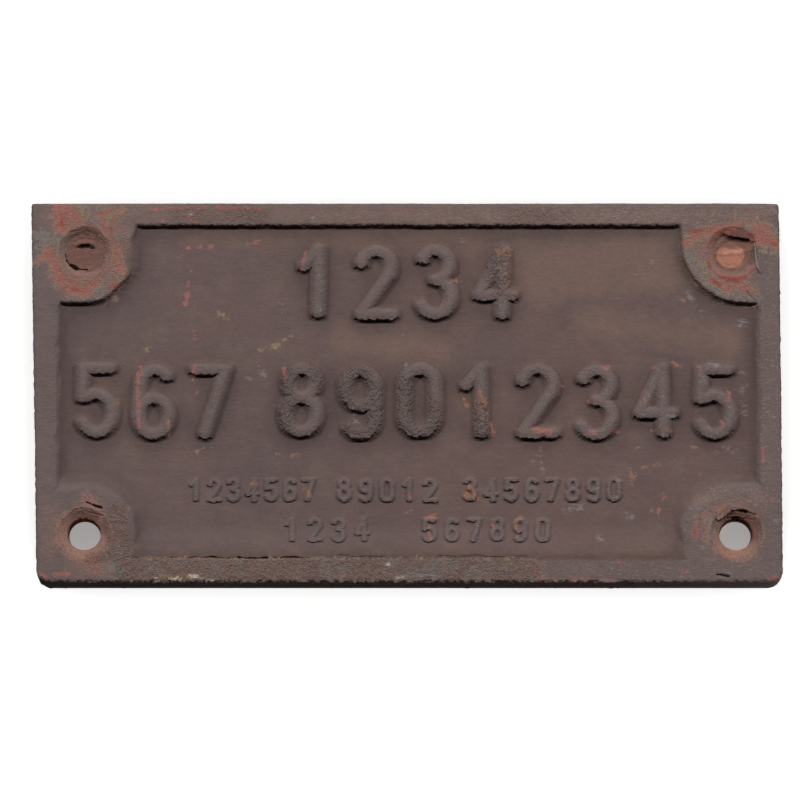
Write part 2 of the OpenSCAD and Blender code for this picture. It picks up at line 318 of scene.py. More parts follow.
# Pale lime along the lower rim's edge and on the rims
LIME = (
    (-68.2, -50.2, -67.4, -50.2, 0.22), (-64.6, -50.5, -62.6, -50.6, 0.3),
    (-62.4, -50.2, -61.6, -50.6, 0.4), (-59.2, -49.6, -57.0, -49.8, 0.4),
    (-54.4, -50.8, -52.8, -50.8, 0.3), (-6.0, -46.6, -5.2, -46.7, 0.2),
    (-3.2, -50.0, -1.6, -50.2, 0.25), (-59.1, 48.7, -58.7, 48.5, 0.02),
    (-26.1, 47.1, -25.8, 47.0, 0.0), (78.5, 40.1, 78.8, 40.0, 0.05),
    (-83.8, 28.8, -83.7, 28.7, 0.0),
)

# Dark paint on the flap over the right rivet
MAROON = (
    (86.0, 43.5, 92.6, 42.6, 1.2), (86.4, 43.2, 92.0, 42.4, 0.9),
)

# Dark red paint round the right rivet and in the deepest chips
DEEP_RED = (
    (81.1, 37.0, 81.1, 35.1, 0.0), (81.1, 35.1, 82.3, 33.0, 0.1), (82.3, 33.0, 84.1, 31.5, 0.3),
    (84.1, 31.5, 86.3, 30.9, 0.45), (86.3, 30.9, 88.7, 30.9, 0.55), (88.7, 30.9, 90.9, 31.6, 0.4),
    (90.9, 31.6, 93.6, 33.6, 0.2), (80.9, 39.6, 82.2, 42.4, 0.0), (82.2, 42.4, 85.4, 44.6, 0.05),
    (85.4, 44.9, 90.4, 45.4, 0.1), (85.8, 43.8, 88.0, 43.9, 0.3), (-93.9, 47.6, -93.6, 45.6, 0.35),
    (-80.6, 44.8, -80.4, 44.2, 0.4), (-79.6, 29.2, -79.4, 28.8, 0.4), (-91, 28.2, -89.6, 28, 0.35),
    (97, 40.9, 99.2, 40.2, 0.35), (76, 43.9, 79.4, 44.1, 0.4), (82.8, 30.2, 84.2, 29.4, 0.4),
    (77.2, -35.6, 77.2, -39.0, 0.06),
)

# Cracks, which have half their width and their depth as last numbers. Their bottoms take near-black
# painted shade, and those under the flakes' lower edges give the flakes their painted shadow
CRACKS = (
    (-64, -44.7, -56, -44.5, 0.09, 0.35), (-56, -44.5, -48, -44.7, 0.11, 0.5),
    (-46, -44.7, -38, -44.9, 0.12, 0.5), (-36.4, -44.8, -27.2, -44.5, 0.11, 0.45),
    (-76, -44.6, -73, -44.6, 0.08, 0.3), (-19, -44.2, -6, -44.6, 0.07, 0.2),
    (8, -44.3, 32, -44.4, 0.07, 0.2), (32, -44.4, 35, -49.5, 0.09, 0.2),
    (-92.7, 37.6, -92.4, 36.2, 0.14, 0.4), (-92.4, 36.2, -91.4, 34.8, 0.24, 0.8),
    (-91.4, 34.8, -89.5, 33.9, 0.40, 1.1), (-89.5, 33.9, -87.0, 33.7, 0.38, 1.0),
    (-91.4, 43.8, -88.7, 44.3, 0.12, 0.16), (-87.2, 44.1, -84.0, 43.0, 0.12, 0.16),
    (-90.5, -31.9, -87.8, -31.2, 0.12, 0.22), (-86.9, -29.5, -85.1, -30.6, 0.12, 0.4),
    (-85.1, -30.6, -82.7, -31.3, 0.20, 0.8), (-87.3, -32.3, -82.4, -33.4, 0.12, 0.22),
    (87.2, -31.8, 91.0, -32.4, 0.34, 0.8), (91.0, -32.4, 93.6, -33.2, 0.14, 0.35),
    (86.0, -34.2, 87.2, -33.8, 0.10, 0.3), (87.2, -33.8, 89.0, -33.9, 0.20, 0.5),
    (89.0, -33.9, 90.4, -34.4, 0.10, 0.3), (90.4, -34.0, 93.4, -34.6, 0.12, 0.2),
    (82.8, -49.2, 86.4, -49.9, 0.18, 0.5), (91.3, 27.7, 93.9, 25.0, 0.13, 0.3),
)

# Lifted flakes: height, thickness, lift and outline
FLAKES = (
    (9.0, 0.2, 0.45, ((85.2, 43.6), (86.2, 44.4), (88.0, 44.7), (90.9, 44.0), (92.8, 42.6),
                      (93.6, 41.2), (92.6, 41.3), (91.9, 42.1), (90.8, 42.0), (89.5, 42.3),
                      (87.5, 42.6), (86.2, 42.9))),
    (9.0, 0.2, 0.35, ((-87.0, -28.8), (-85.6, -27.9), (-84.6, -28.6), (-82.8, -30.8),
                      (-83.6, -31.0), (-85.2, -30.2), (-86.9, -29.3))),
    (8.8, 0.18, 0.3, ((83.0, -34.0), (84.8, -32.2), (87.5, -30.8), (90.2, -30.4), (90.5, -31.0),
                      (88.6, -31.6), (86.4, -32.6), (84.6, -34.0), (83.4, -34.6))),
)

# Burr of the right rivet: x, y, z and radius along it
BURR = (
    (93.4, 41.4, 8.95, 0.12), (93.75, 40.0, 9.05, 0.26), (93.9, 37.8, 9.15, 0.3),
    (94.1, 35.6, 9.2, 0.32), (94.3, 34.4, 9.3, 0.4), (94.9, 33.4, 9.3, 0.34),
    (95.4, 32.4, 9.1, 0.1),
)

# The attribute that each kind of mark is stored as
MARKS = {
    "patina": PATINA, "warmth": WARMTH, "bowls": BOWLS, "cups": CUPS, "bloom": BLOOM,
    "lime": LIME, "maroon": MAROON, "deep_red": DEEP_RED, "red_lead": RED_LEAD,
    "red_traces": RED_TRACES, "rust": RUST, "undercoat": UNDERCOAT, "ochre": OCHRE,
    "scuffs": SCUFFS, "scale": SCALE, "coarse": COARSE,
}


def select_only(*pieces):
    """Selects these pieces and nothing else, and makes the first one active."""
    bpy.ops.object.select_all(action="DESELECT")
    for piece in pieces:
        piece.select_set(True)
    bpy.context.view_layer.objects.active = pieces[0]


def apply_modifier(piece, kind, **settings):
    """Adds a modifier with these settings to a piece and applies it."""
    select_only(piece)
    bpy.ops.object.modifier_add(type=kind)
    modifier = piece.modifiers[-1]
    for name, value in settings.items():
        setattr(modifier, name, value)
    bpy.ops.object.modifier_apply(modifier=modifier.name)


def remesh(piece, voxel):
    """Rebuilds a piece from voxels of this size, as one closed skin."""
    apply_modifier(piece, "REMESH", mode="VOXEL", voxel_size=voxel)


def coarseness():
    return 1


def triangle_count(piece):
    """How many triangles a piece has once its larger faces are cut up."""
    return sum(len(face.vertices) - 2 for face in piece.data.polygons)


def thin_out(piece, triangles):
    """Drops a piece's flatter points until it has about this many triangles."""
    ratio = triangles / triangle_count(piece)
    if ratio < 1:
        apply_modifier(piece, "DECIMATE", ratio=ratio)


def shade_smooth(piece, degrees):
    """Smooths a piece's shading, except at edges sharper than this angle."""
    select_only(piece)
    bpy.ops.object.shade_smooth_by_angle(angle=math.radians(degrees))


def copy_of_node(node, name):
    """A copy of a node's mesh as a new piece, with its loose triangles joined up."""
    piece = bpy.data.objects.new(name, frame["nodes"][node].data.copy())
    bpy.context.collection.objects.link(piece)
    piece.data.materials.clear()
    select_only(piece)
    bpy.ops.object.mode_set(mode="EDIT")
    bpy.ops.mesh.select_all(action="SELECT")
    bpy.ops.mesh.remove_doubles(threshold=0.001 * MM)
    bpy.ops.object.mode_set(mode="OBJECT")
    return piece


def drawn_curve(name, kind, splines, **settings):
    """A curve with these settings. Each spline is a list of (place, radius)."""
    bpy.ops.curve.primitive_nurbs_path_add()
    piece = bpy.context.object
    piece.name = name
    piece.data.splines.clear()
    for setting, value in settings.items():
        setattr(piece.data, setting, value)
    for points in splines:
        spline = piece.data.splines.new(kind)
        spline.points.add(len(points) - 1)
        for at, (place, radius) in zip(spline.points, points):
            at.co = (*place, 1)
            at.radius = radius
    return piece


def made_solid(piece, scale):
    """The mesh of a curve, brought to this scale."""
    select_only(piece)
    bpy.ops.object.convert(target="MESH")
    piece.scale = scale
    bpy.ops.object.transform_apply(location=True, rotation=True, scale=True)
    return piece


def vectors_of(piece, kind):
    """The places or the normals of a piece's points, one row each."""
    values = np.empty(len(piece.data.vertices) * 3, np.float32)
    piece.data.vertices.foreach_get(kind, values)
    return values.reshape(-1, 3).astype(float)


def points_of(piece):
    """A piece's points in millimetres, one row each."""
    return vectors_of(piece, "co") / MM


def normals_of(piece):
    """The direction that each of a piece's points faces."""
    return vectors_of(piece, "normal")


def move_points(piece, points):
    """Puts a piece's points at these places in millimetres."""
    piece.data.vertices.foreach_set("co", (points * MM).astype(np.float32).ravel())
    piece.data.update()


def stamp(piece, name, values):
    """Stores a number for each point of a piece, which a material reads by this name."""
    attribute = piece.data.attributes.new(name, "FLOAT", "POINT")
    attribute.data.foreach_set("value", values.astype(np.float32))


def smoothstep(low, high, value):
    """0 at the low end and 1 at the high end, with a soft start and stop."""
    share = np.clip((value - low) / (high - low), 0, 1)
    return share * share * (3 - 2 * share)


def lattice(i, j, k, seed):
    """A fixed number from -1 to 1 for each lattice point."""
    h = (i * 374761393 + j * 668265263 + k * 362437 + seed * 144665) & 0xFFFFFFFF
    h = ((h ^ (h >> 13)) * 1274126177) & 0xFFFFFFFF
    return (h ^ (h >> 16)) / 0x7FFFFFFF - 1


def grain(points, size, seed):
    """Smooth noise from -1 to 1 with lumps of this size, the same on every run."""
    scaled = points / size
    low = np.floor(scaled).astype(np.int64)
    share = scaled - low
    share = share * share * (3 - 2 * share)
    total = 0
    for corner in range(8):
        step = (corner & 1, corner >> 1 & 1, corner >> 2)
        weight = 1
        for axis in range(3):
            weight = weight * (share[:, axis] if step[axis] else 1 - share[:, axis])
        total = total + weight * lattice(*(low[:, a] + step[a] for a in range(3)), seed)
    return total


def offset_from(points, line):
    """How far across and up each point lies from the nearest place on a line on the face."""
    x0, y0, x1, y1 = line[:4]
    dx, dy = x1 - x0, y1 - y0
    px, py = points[:, 0] - x0, points[:, 1] - y0
    along = np.clip((px * dx + py * dy) / max(dx * dx + dy * dy, 1e-9), 0, 1)
    return px - along * dx, py - along * dy


def gap_to(points, mark):
    """Distance of each point from a mark's line, seen from above the face."""
    return np.hypot(*offset_from(points, mark))


def depth_in(points, marks):
    """How far inside the nearest mark's edge each point lies, and less than 0 outside."""
    depth = np.full(len(points), -3.0)
    for mark in marks:
        depth = np.maximum(depth, mark[4] - gap_to(points, mark))
    return depth


def crack_at(points):
    """Depth of the cracks at each point."""
    wander = points.copy()
    wander[:, 1] += 0.22 * grain(points, 2.3, 7) + 0.12 * grain(points, 0.8, 8)
    width = np.maximum(1 + 1.1 * grain(points, 1.7, 9), 0.1)
    deepest = np.zeros(len(points))
    for crack in CRACKS:
        half = crack[4] * width
        open_share = smoothstep(1.8 * half, 0.4 * half, gap_to(wander, crack))
        deepest = np.maximum(deepest, crack[5] * open_share)
    return deepest


class Ground:
    """A grid over the face that shows where something stands up from the field."""

    cell = 0.4
    low = np.array([-104.0, -54.0])
    size = (520, 270)
    # Height above the field from which a point counts as standing up
    standing = 0.55

    def __init__(self):
        self.clear()

    def clear(self):
        """Forgets all that stood up."""
        self.up = np.zeros(self.size)

    def add(self, points):
        """Marks the cells where any of these points stands well above the field."""
        standing = points[points[:, 2] > FIELD_Z + self.standing]
        column, row = ((standing[:, :2] - self.low) / self.cell).astype(int).T
        self.up[column, row] = 1

    def gap(self, reach):
        """Distance to what stands below or to the side of a cell, up to this reach.

        It doesn't look up the plate, because the lee below a raised edge stays sharp.
        """
        gap = np.where(self.up > 0, 0.0, reach)
        for _ in range(round(reach / self.cell)):
            for across, up in ((1, 0), (-1, 0), (0, 1), (1, 1), (-1, 1)):
                step = self.cell * math.hypot(across, up)
                gap = np.minimum(gap, np.roll(gap, (across, up), (0, 1)) + step)
        return gap

    def crowd(self):
        """Share of the iron round each cell that stands up, a little more of it below an edge."""
        share = np.roll(self.up, -3, 1)
        for _ in range(3):
            for axis in (0, 1):
                share = sum(np.roll(share, step, axis) for step in range(-6, 7)) / 13
        return share

    def shelf(self):
        """How much dust slid down the plate and stopped on the upper side of a raised edge."""
        above = self.up.copy()
        rim_y = 43
        above[:, int((rim_y - self.low[1]) / self.cell):] = 0
        return sum(np.roll(above, step, 1) * (1 - step / 12) for step in range(1, 12)) / 4

    def read(self, grid, points):
        """The grid's value at each point, blended between the cells round it."""
        place = (points[:, :2] - self.low) / self.cell - 0.5
        column, row = np.floor(place).astype(int).T
        across, up = (place - np.floor(place)).T
        return (
            grid[column, row] * (1 - across) * (1 - up)
            + grid[column + 1, row] * across * (1 - up)
            + grid[column, row + 1] * (1 - across) * up
            + grid[column + 1, row + 1] * across * up
        )


ground = Ground()


def run_up(points):
    """Height by which the field climbs towards the lower rim."""
    return RIM_FOOT * smoothstep(-35.5, -45.3, points[:, 1])


def rounded_bores(points):
    """Points of the casting with its four bores set true, a little flat and narrower behind."""
    moved = points.copy()
    for centre_x in (-HOLE_X, HOLE_X):
        for centre_y in (-HOLE_Y, HOLE_Y):
            off = points[:, :2] - (centre_x, centre_y)
            radius = np.hypot(*off.T)
            wall = (abs(radius - BORE_R) < 0.5) & (points[:, 2] < SINK_Z - 0.15)
            narrow = 0.94 + 0.06 * points[:, 2] / SINK_Z
            fit = BORE_R * narrow / np.maximum(radius, 1)
            off[:, 0] *= fit
            off[:, 1] *= fit * (0.95 if centre_y < 0 else 1)
            moved[wall, :2] = (centre_x, centre_y) + off[wall]
    return moved


def as_moulded(points):
    """Points of the casting with two faults of its mould.

    The lower right hole sits a little to the right, and the upper left pad's corner is flat.
    """
    moved = points.copy()
    x, y, _ = points.T
    moved[:, 0] += HOLE_SHIFT * smoothstep(12, 7.5, np.hypot(x - HOLE_X, y + HOLE_Y))
    across, down = x + HOLE_X, HOLE_Y - y
    far = np.hypot(across, down)
    angle = np.degrees(np.arctan2(down, across))
    push = 0.8 * np.exp(-(((angle - 45) / 17) ** 2)) * smoothstep(8, 12, far)
    push = push * smoothstep(19, 15.5, far) / np.maximum(far, 1)
    moved[:, 0] -= push * across
    moved[:, 1] += push * down
    return moved


def stood_up(points):
    """Points of the casting with rust-swollen edges: the short sides stand upright and ragged.

    Both short sides lean to the left towards the upper edge, whose corners are sharp.
    """
    moved = points.copy()
    x, y, z = points.T
    ragged = 0.1 * grain(points, 1.3, 61) + 0.1 * grain(points, 0.6, 62)
    for side, middle, lean in ((-1, 101.15, 0.95), (1, 100.6, -0.35)):
        share = smoothstep(96.5, 99.3, side * x)
        swell = middle + lean * y / 51 - (101 - z / FACE_Z) + ragged
        moved[:, 0] += side * share * swell
    moved[:, 1] += 0.25 * smoothstep(46, 50, y)
    corner = np.stack([abs(x) - 98.5, y - 49.75], axis=1)
    turned = (corner.min(1) > 0.05) & (z > 0.5)
    far = np.hypot(*corner.T)
    stretch = np.where(turned, (far / np.maximum(corner.max(1), 0.05)) ** 0.7 - 1, 0)
    moved[:, 0] += np.where(turned, np.sign(x) * corner[:, 0] * stretch, 0)
    moved[:, 1] += np.where(turned, corner[:, 1] * stretch, 0)
    return moved


def banked(points):
    """Points of the casting with rust and paint banked up at the foot of its walls.

    Its short sides, its lower pads and its lower rim run out softly into the field, and so do
    the upper pads where they look along the plate.
    """
    moved = points.copy()
    x, y, z = points.T
    middle = grain(points, 3.2, 3)
    field = (abs(x) < 97) & (y < 46.2) & (y > -45.2) & (z > FIELD_Z - 0.3)
    for centre_y in (-HOLE_Y, HOLE_Y):
        field &= np.hypot(abs(x) - HOLE_X, y - centre_y) > 7.6
    reach = 2.4
    gap = ground.read(ground.gap(reach), points)
    level = FIELD_Z + np.maximum(0.5 * (1 - gap / reach) ** 2, run_up(points))
    z = np.where(field, np.maximum(z, level), z)

    # The upper pads: how far the top of the wall leans back, and how far down the plate
    for side, lean, low in ((-1, 2.3, 31), (1, 0.5, 36)):
        rise = np.clip((points[:, 2] - FIELD_Z) / FIELD_DEPTH, 0, 1)
        rise *= smoothstep(81.2, 74.6, side * x)
        rise *= smoothstep(low, low + 5, y) * smoothstep(45.0, 39.5, y) * (side * x > 70)
        moved[:, 0] += side * (lean + 0.3 * middle) * rise

    # The short sides, and the lower pads from the foot of their slope to its lip
    slope = FIELD_DEPTH * smoothstep(92.8, 95.6, abs(x) + 0.3 * middle)
    soft = np.maximum(level, FIELD_Z + slope)
    for side, foot, lip in ((-1, 17.0, 10.8), (1, 17.2, 10.5)):
        inward = np.maximum(HOLE_X - side * x, 0)
        upward = np.maximum(y + HOLE_Y, 0)
        gap = np.hypot(inward, upward) + 0.5 * middle
        slope = FIELD_Z + FIELD_DEPTH * smoothstep(foot, lip, gap)
        soft = np.maximum(soft, np.where(side * x > 0, slope, 0))
    share = smoothstep(24.2, 22.4, y)
    moved[:, 2] = np.where(field, z + share * (soft - z), z)
    return moved


def weathered(points, normals):
    """Each point of the iron where rust, cracks and the sand of the mould left it."""
    x, y, z = points.T
    face = smoothstep(0.2, 0.6, normals[:, 2]) * smoothstep(2, 4, z)
    skin = smoothstep(0.3, 1.2, z)
    raised = smoothstep(FIELD_Z + 0.3, FIELD_Z + 0.9, z)
    fine, small = grain(points, 0.55, 1), grain(points, 1.1, 2)
    middle, broad = grain(points, 3.2, 3), grain(points, 14, 4)
    out = skin * (0.08 * broad + 0.03 * middle)
    out += skin * raised * (0.03 * small + 0.03 * fine)

    # Walls that look down the plate are ragged, and less so at its short sides
    lee = smoothstep(0.3, 0.7, -normals[:, 1]) * smoothstep(FIELD_Z - 0.3, FIELD_Z + 0.3, z)
    out += lee * (0.09 * small + 0.2 * fine) * np.where(abs(x) > 72, 0.6, 1)

    # Scale on the lower rim: a lifted layer with a ragged edge and deep pits
    scale = face * smoothstep(0.0, 0.5, depth_in(points, SCALE) + 0.5 * middle + 0.4 * small)
    pits = np.maximum(0.7 * small + fine, -0.9)
    out += scale * raised * (0.1 + 0.08 * pits)

    # The plate's lower side is eaten away, and less so towards its right end
    drop = smoothstep(0.2, 0.7, -normals[:, 1]) * smoothstep(-50, -51, y) * skin
    drop *= 1 - 0.7 * smoothstep(60, 72, x)
    out += drop * (0.12 * small + 0.22 * fine + 0.1 * middle)

    # Coarse casting skin, with pits like the tracks of worms
    coarse = face * raised * smoothstep(-1, 1.5, depth_in(points, COARSE) + 0.8 * middle)
    coarse *= np.where(y > 45, 0.4, 1)
    worms = np.abs(grain(points @ DIAGONAL, 0.8, 5))
    out += coarse * (0.10 * fine + 0.09 * small - 0.24 * smoothstep(0.2, 0.02, worms))

    # Chips, where the coats of paint are gone
    chips = depth_in(points, RED_LEAD) + 0.5 * small + 0.4 * fine
    out -= face * 0.09 * smoothstep(-0.2, 0.2, chips)
    out -= face * crack_at(points)
    return points + normals * out[:, None]


def drawn_out(stroke):
    """The points of a stroke, with its arcs in short steps."""
    points = []
    for item in stroke:
        if len(item) == 2:
            points.append(item)
            continue
        x, y, radius_x, radius_y, first, last = item
        steps = max(4, round(abs(last - first) / 12))
        for i in range(steps + 1):
            angle = math.radians(first + (last - first) * i / steps)
            points.append((x + radius_x * math.cos(angle), y + radius_y * math.sin(angle)))
    return [Vector((*point, 0)) for point in points]


def with_round_ends(points, radius):
    """(point, share of the full radius) along a stroke whose two ends close in half a ball."""
    closing = [math.radians(a) for a in (84, 65, 45, 22)]
    start, end = points[0], points[-1]
    back = (start - points[1]).normalized()
    ahead = (end - points[-2]).normalized()
    first = [(start + back * radius * math.sin(a), math.cos(a)) for a in closing]
    last = [(end + ahead * radius * math.sin(a), math.cos(a)) for a in reversed(closing)]
    return first + [(point, 1) for point in points] + last


def reach_of(stroke_w):
    """How far from its centre line the bank of a stroke runs out."""
    return 0.82 * stroke_w + 0.3


def slab_along(name, lines, reach):
    """A slab with a round edge that covers all within this reach of the lines."""
    splines = [with_round_ends(line, reach) for line in lines]
    slab = drawn_curve(
        name, "POLY", splines, bevel_depth=reach, bevel_resolution=6, use_fill_caps=True
    )
    return made_solid(slab, (MM, MM, MM * SLAB_HALF / reach))


def numeral_lines(index, text, first_x, pitch, y, height, width, stroke_w, _relief):
    """The centre lines of a row's strokes, as one list for each numeral."""
    hand = random.Random(index)
    box = Vector((width - stroke_w, height - stroke_w, 0))
    row = []
    for place, numeral in enumerate(text):
        lean = math.radians(hand.uniform(-1.5, 1.5))
        corner = Vector((first_x + place * pitch, y + hand.uniform(-0.02, 0.02) * height, 0))
        lines = []
        for stroke in NUMERALS[numeral]:
            points = []
            for point in drawn_out(stroke):
                x, up = (point.x - 0.5) * box.x, (point.y - 0.5) * box.y
                points.append(corner + Vector((x + up * math.tan(lean), up, 0)))
            lines.append(points)
        row.append(lines)
    return row


def stroke_rise(points, lines, stroke_w, relief, seed):
    """Height of a numeral above the field at each point.

    A stroke is a soft round bank, and breaks off in a ragged cliff on its lower side.
    """
    half, reach = stroke_w / 2, reach_of(stroke_w)
    ragged = (0.03 * stroke_w + 0.07) * grain(points, 0.17 * stroke_w + 0.1, seed)
    brink = 0.07 * stroke_w
    rise = np.full(len(points), -RUN_OUT)
    for line in lines:
        for start, end in zip(line, line[1:]):
            across, up = offset_from(points, (*start.xy, *end.xy))
            far = np.hypot(across, up)
            slant = up / np.maximum(far, 1e-6)
            spread = reach * (1 - 0.2 * smoothstep(0.3, 0.9, slant))
            bank = (relief + RUN_OUT) * (1 - smoothstep(0.12, 1, far / spread))
            dome = relief * (1 - 0.26 * (far / half) ** 2) + RUN_OUT
            cliff = dome * smoothstep(half + 0.3 * brink, half - brink, far + ragged)
            below = smoothstep(0.5, 0.85, -slant)
            rise = np.maximum(rise, bank + (cliff - bank) * below - RUN_OUT)
    return rise


def numerals(name, rows, voxel, triangles):
    """Rows of raised numerals as one closed mesh that stands in the field."""
    slabs, drawn = [], []
    for index, row in enumerate(rows):
        stroke_w, relief = row[-2:]
        figures = numeral_lines(index, *row)
        lines = [line for figure in figures for line in figure]
        slabs.append(slab_along(f"{name}_{index}", lines, reach_of(stroke_w)))
        drawn += [(figure, stroke_w, relief) for figure in figures]
    select_only(*slabs)
    bpy.ops.object.join()
    piece = bpy.context.object
    piece.name = name
    remesh(piece, voxel)
    points = points_of(piece)
    # The slabs' upper skin becomes the face of the numerals, and their lower skin its root
    top = points[:, 2] > 0
    rise = np.full(len(points), -RUN_OUT)
    for seed, (figure, stroke_w, relief) in enumerate(drawn):
        corners = np.array([point.xy for line in figure for point in line])
        low = corners.min(0) - reach_of(stroke_w)
        high = corners.max(0) + reach_of(stroke_w)
        near = top & np.all((points[:, :2] > low) & (points[:, :2] < high), axis=1)
        lifted = stroke_rise(points[near], figure, stroke_w, relief, 70 + seed)
        rise[near] = np.maximum(rise[near], lifted)
    points[:, 2] = np.where(top, FIELD_Z + run_up(points) + rise, FIELD_Z - NUMERAL_ROOT)
    move_points(piece, points)
    move_points(piece, weathered(points_of(piece), normals_of(piece)))
    thin_out(piece, triangles)
    return piece


def torn_top(points, side):
    """Height of a stub's broken end above the foot of the countersink, at places about its axis."""
    x, y, _ = points.T
    flat = points * [1, 1, 0]
    radius = np.hypot(x, y)
    tears = grain(flat * [0.35, 1, 1], 0.7, 31 if side == "left" else 32)
    lumps, grit = grain(flat, 1.7, 33), grain(flat, 0.4, 34)
    height = 0.1 * lumps + 0.04 * tears + 0.04 * grit
    # Rust joins its edge to the countersink
    if side == "left":
        height += 0.06 + 0.24 * smoothstep(3.4, 4.9, radius + 0.3 * lumps)
        lip = abs(y - 2.9 + 0.1 * x * x)
        height += 0.35 * smoothstep(0.9, 0.2, lip) * smoothstep(3.2, 2.0, abs(x))
        pit = np.hypot((x - 0.3 + 0.4 * lumps) / 2.3, (y - 1.8 + 0.1 * x * x) / 0.65)
        height -= 0.9 * smoothstep(1.2, 0.5, pit + 0.25 * lumps + 0.2 * grit)
    else:
        off = np.hypot(x + 0.3, y + 0.8) + 0.25 * lumps
        height += 0.04 + 0.26 * smoothstep(3.7, 4.9, off)
        height -= 0.14 * smoothstep(0.45, 0.1, abs(off - 3.75)) * smoothstep(-1, -2.6, y)
        height += 0.16 * smoothstep(0.9, 0.0, abs(y + 0.1 - 0.1 * x - 0.4 * lumps))
    return height


def flake(index, height, thickness, lift, outline):
    """A thin jagged sheet that lies on the face and lifts towards the end of its outline."""
    hand = random.Random(100 + index)
    jagged = []
    for place, (x, y) in enumerate(outline):
        next_x, next_y = outline[(place + 1) % len(outline)]
        steps = max(2, round(math.hypot(next_x - x, next_y - y) / 0.5))
        for step in range(steps):
            share = step / steps
            jagged.append((
                x + (next_x - x) * share + hand.uniform(-0.13, 0.13),
                y + (next_y - y) * share + hand.uniform(-0.13, 0.13),
            ))
    sheet = drawn_curve(
        f"flake_{index}", "POLY", [[((x, y, 0), 1) for x, y in jagged]], dimensions="2D",
        fill_mode="BOTH", extrude=thickness / 2, bevel_depth=thickness * 0.2, bevel_resolution=1,
    )
    sheet.data.splines[0].use_cyclic_u = True
    made_solid(sheet, (1, 1, 1))
    remesh(sheet, FLAKE_VOXEL)
    # The sheet is still in millimetres, which points_of takes for metres
    points = points_of(sheet) * MM
    top = max(y for _, y in outline)
    low = min(y for _, y in outline)
    share = np.clip((top - points[:, 1]) / (top - low), 0, 1)
    points[:, 2] += height + lift * share ** 1.5 + 0.06 * grain(points, 0.8, index)
    move_points(sheet, points)
    return sheet


def burr_of(route):
    """A sliver of bare iron with a hooked end, along the edge of a countersink."""
    points = [(place, radius) for *place, radius in route]
    burr = drawn_curve(
        "rivet_burr", "NURBS", [points], bevel_depth=1, bevel_resolution=3, use_fill_caps=True
    )
    spline = burr.data.splines[0]
    spline.use_endpoint_u = True
    spline.order_u = 3
    spline.resolution_u = 8
    made_solid(burr, (MM, MM, MM))
    points = points_of(burr)
    dents = np.stack([grain(points, 0.6, 50 + axis) for axis in range(3)], axis=1)
    move_points(burr, points + 0.07 * dents)
    shade_smooth(burr, 50)
    return burr


def length(name, description, default, low):
    """A size that a user may change, in metres."""
    return FloatProperty(
        name=name, description=description, default=default, min=low, precision=5, unit="LENGTH",
    )


class WagonPlateSizes(PropertyGroup):
    """Sizes of the meshes"""

    voxel: length("Voxel", "Voxel that the casting is remeshed at", 0.3 * MM, 0.1 * MM)
    numeral_voxel: length(
        "Numeral voxel", "Voxel that the large numerals are remeshed at", 0.2 * MM, 0.1 * MM
    )
    small_numeral_voxel: length(
        "Small numeral voxel", "Voxel that the small numerals are remeshed at",
        0.12 * MM, 0.05 * MM,
    )
    stub_voxel: length(
        "Stub voxel", "Voxel that the rivet stubs are remeshed at", 0.12 * MM, 0.05 * MM
    )
    triangles: IntProperty(
        name="Triangles", description="Most triangles left in the casting or a set of numerals",
        default=192000, min=20000, max=MOST_TRIANGLES,
    )


def tint(name, description, default):
    """A colour that a user may change."""
    return FloatVectorProperty(
        name=name, description=description, default=default, subtype="COLOR", min=0, max=1,
    )


class WagonPlateColours(PropertyGroup):
    """Colours of the paint and the rust"""

    paint: tint("Paint", "Old brown top coat in the field", (0.136, 0.085, 0.077))
    paint_cool: tint("Cool paint", "Top coat where it weathered greyer", (0.127, 0.088, 0.085))
    tan: tint("Tan", "Top coat stained yellower", (0.155, 0.106, 0.083))
    worn: tint("Worn paint", "Top coat rubbed thin on rim and numerals", (0.148, 0.111, 0.105))
    worn_warm: tint("Warm worn paint", "Top coat rubbed thin over primer", (0.205, 0.128, 0.109))
    pink: tint(
        "Faded primer", "Primer that shows as a pink bloom through the top coat",
        (0.265, 0.140, 0.114),
    )
    red_lead: tint("Red lead", "Primer where all of the top coat is gone", (0.320, 0.128, 0.104))
    lime: tint("Lime", "Pale lime on the rims", (0.60, 0.50, 0.38))
    maroon: tint("Maroon", "Dark paint on the flap over the right rivet", (0.125, 0.050, 0.043))
    deep_red: tint("Deep red", "Dark red paint in the deepest chips", (0.270, 0.056, 0.045))
    undercoat: tint(
        "Undercoat", "Grey-green coat between primer and top coat", (0.195, 0.163, 0.147)
    )
    rust: tint("Rust", "Orange-brown rust", (0.310, 0.145, 0.090))
    rust_pale: tint(
        "Pale rust", "Rust under thin paint in the open countersinks", (0.300, 0.165, 0.125)
    )
    # This red-brown rust is also painted shade in the countersinks and on the right stub
    bowl: tint("Bowl", "Red-brown rust in the bowls round the rivets", (0.150, 0.076, 0.060))
    ochre: tint("Ochre", "Yellow-brown stain", (0.280, 0.195, 0.115))
    scuff: tint("Scuff", "Pale rubbed mark", (0.250, 0.235, 0.235))
    dust: tint("Dust", "Rust dust that settled above the numerals", (0.178, 0.112, 0.092))
    glint: tint("Glint", "Bright edge of broken iron", (0.540, 0.260, 0.190))
    # Near-black painted shade at the bottom of cracks and pits
    painted_crevice_shade: tint("Soot", "Dirt at the bottom of cracks", (0.010, 0.006, 0.005))
    stub_left: tint("Left stub", "Torn shank, rusted brown", (0.155, 0.074, 0.058))
    stub_right: tint("Right stub", "Sheared shank, rusted orange", (0.370, 0.158, 0.105))
    burr: tint("Burr", "Bare iron of the burr", (0.200, 0.172, 0.165))


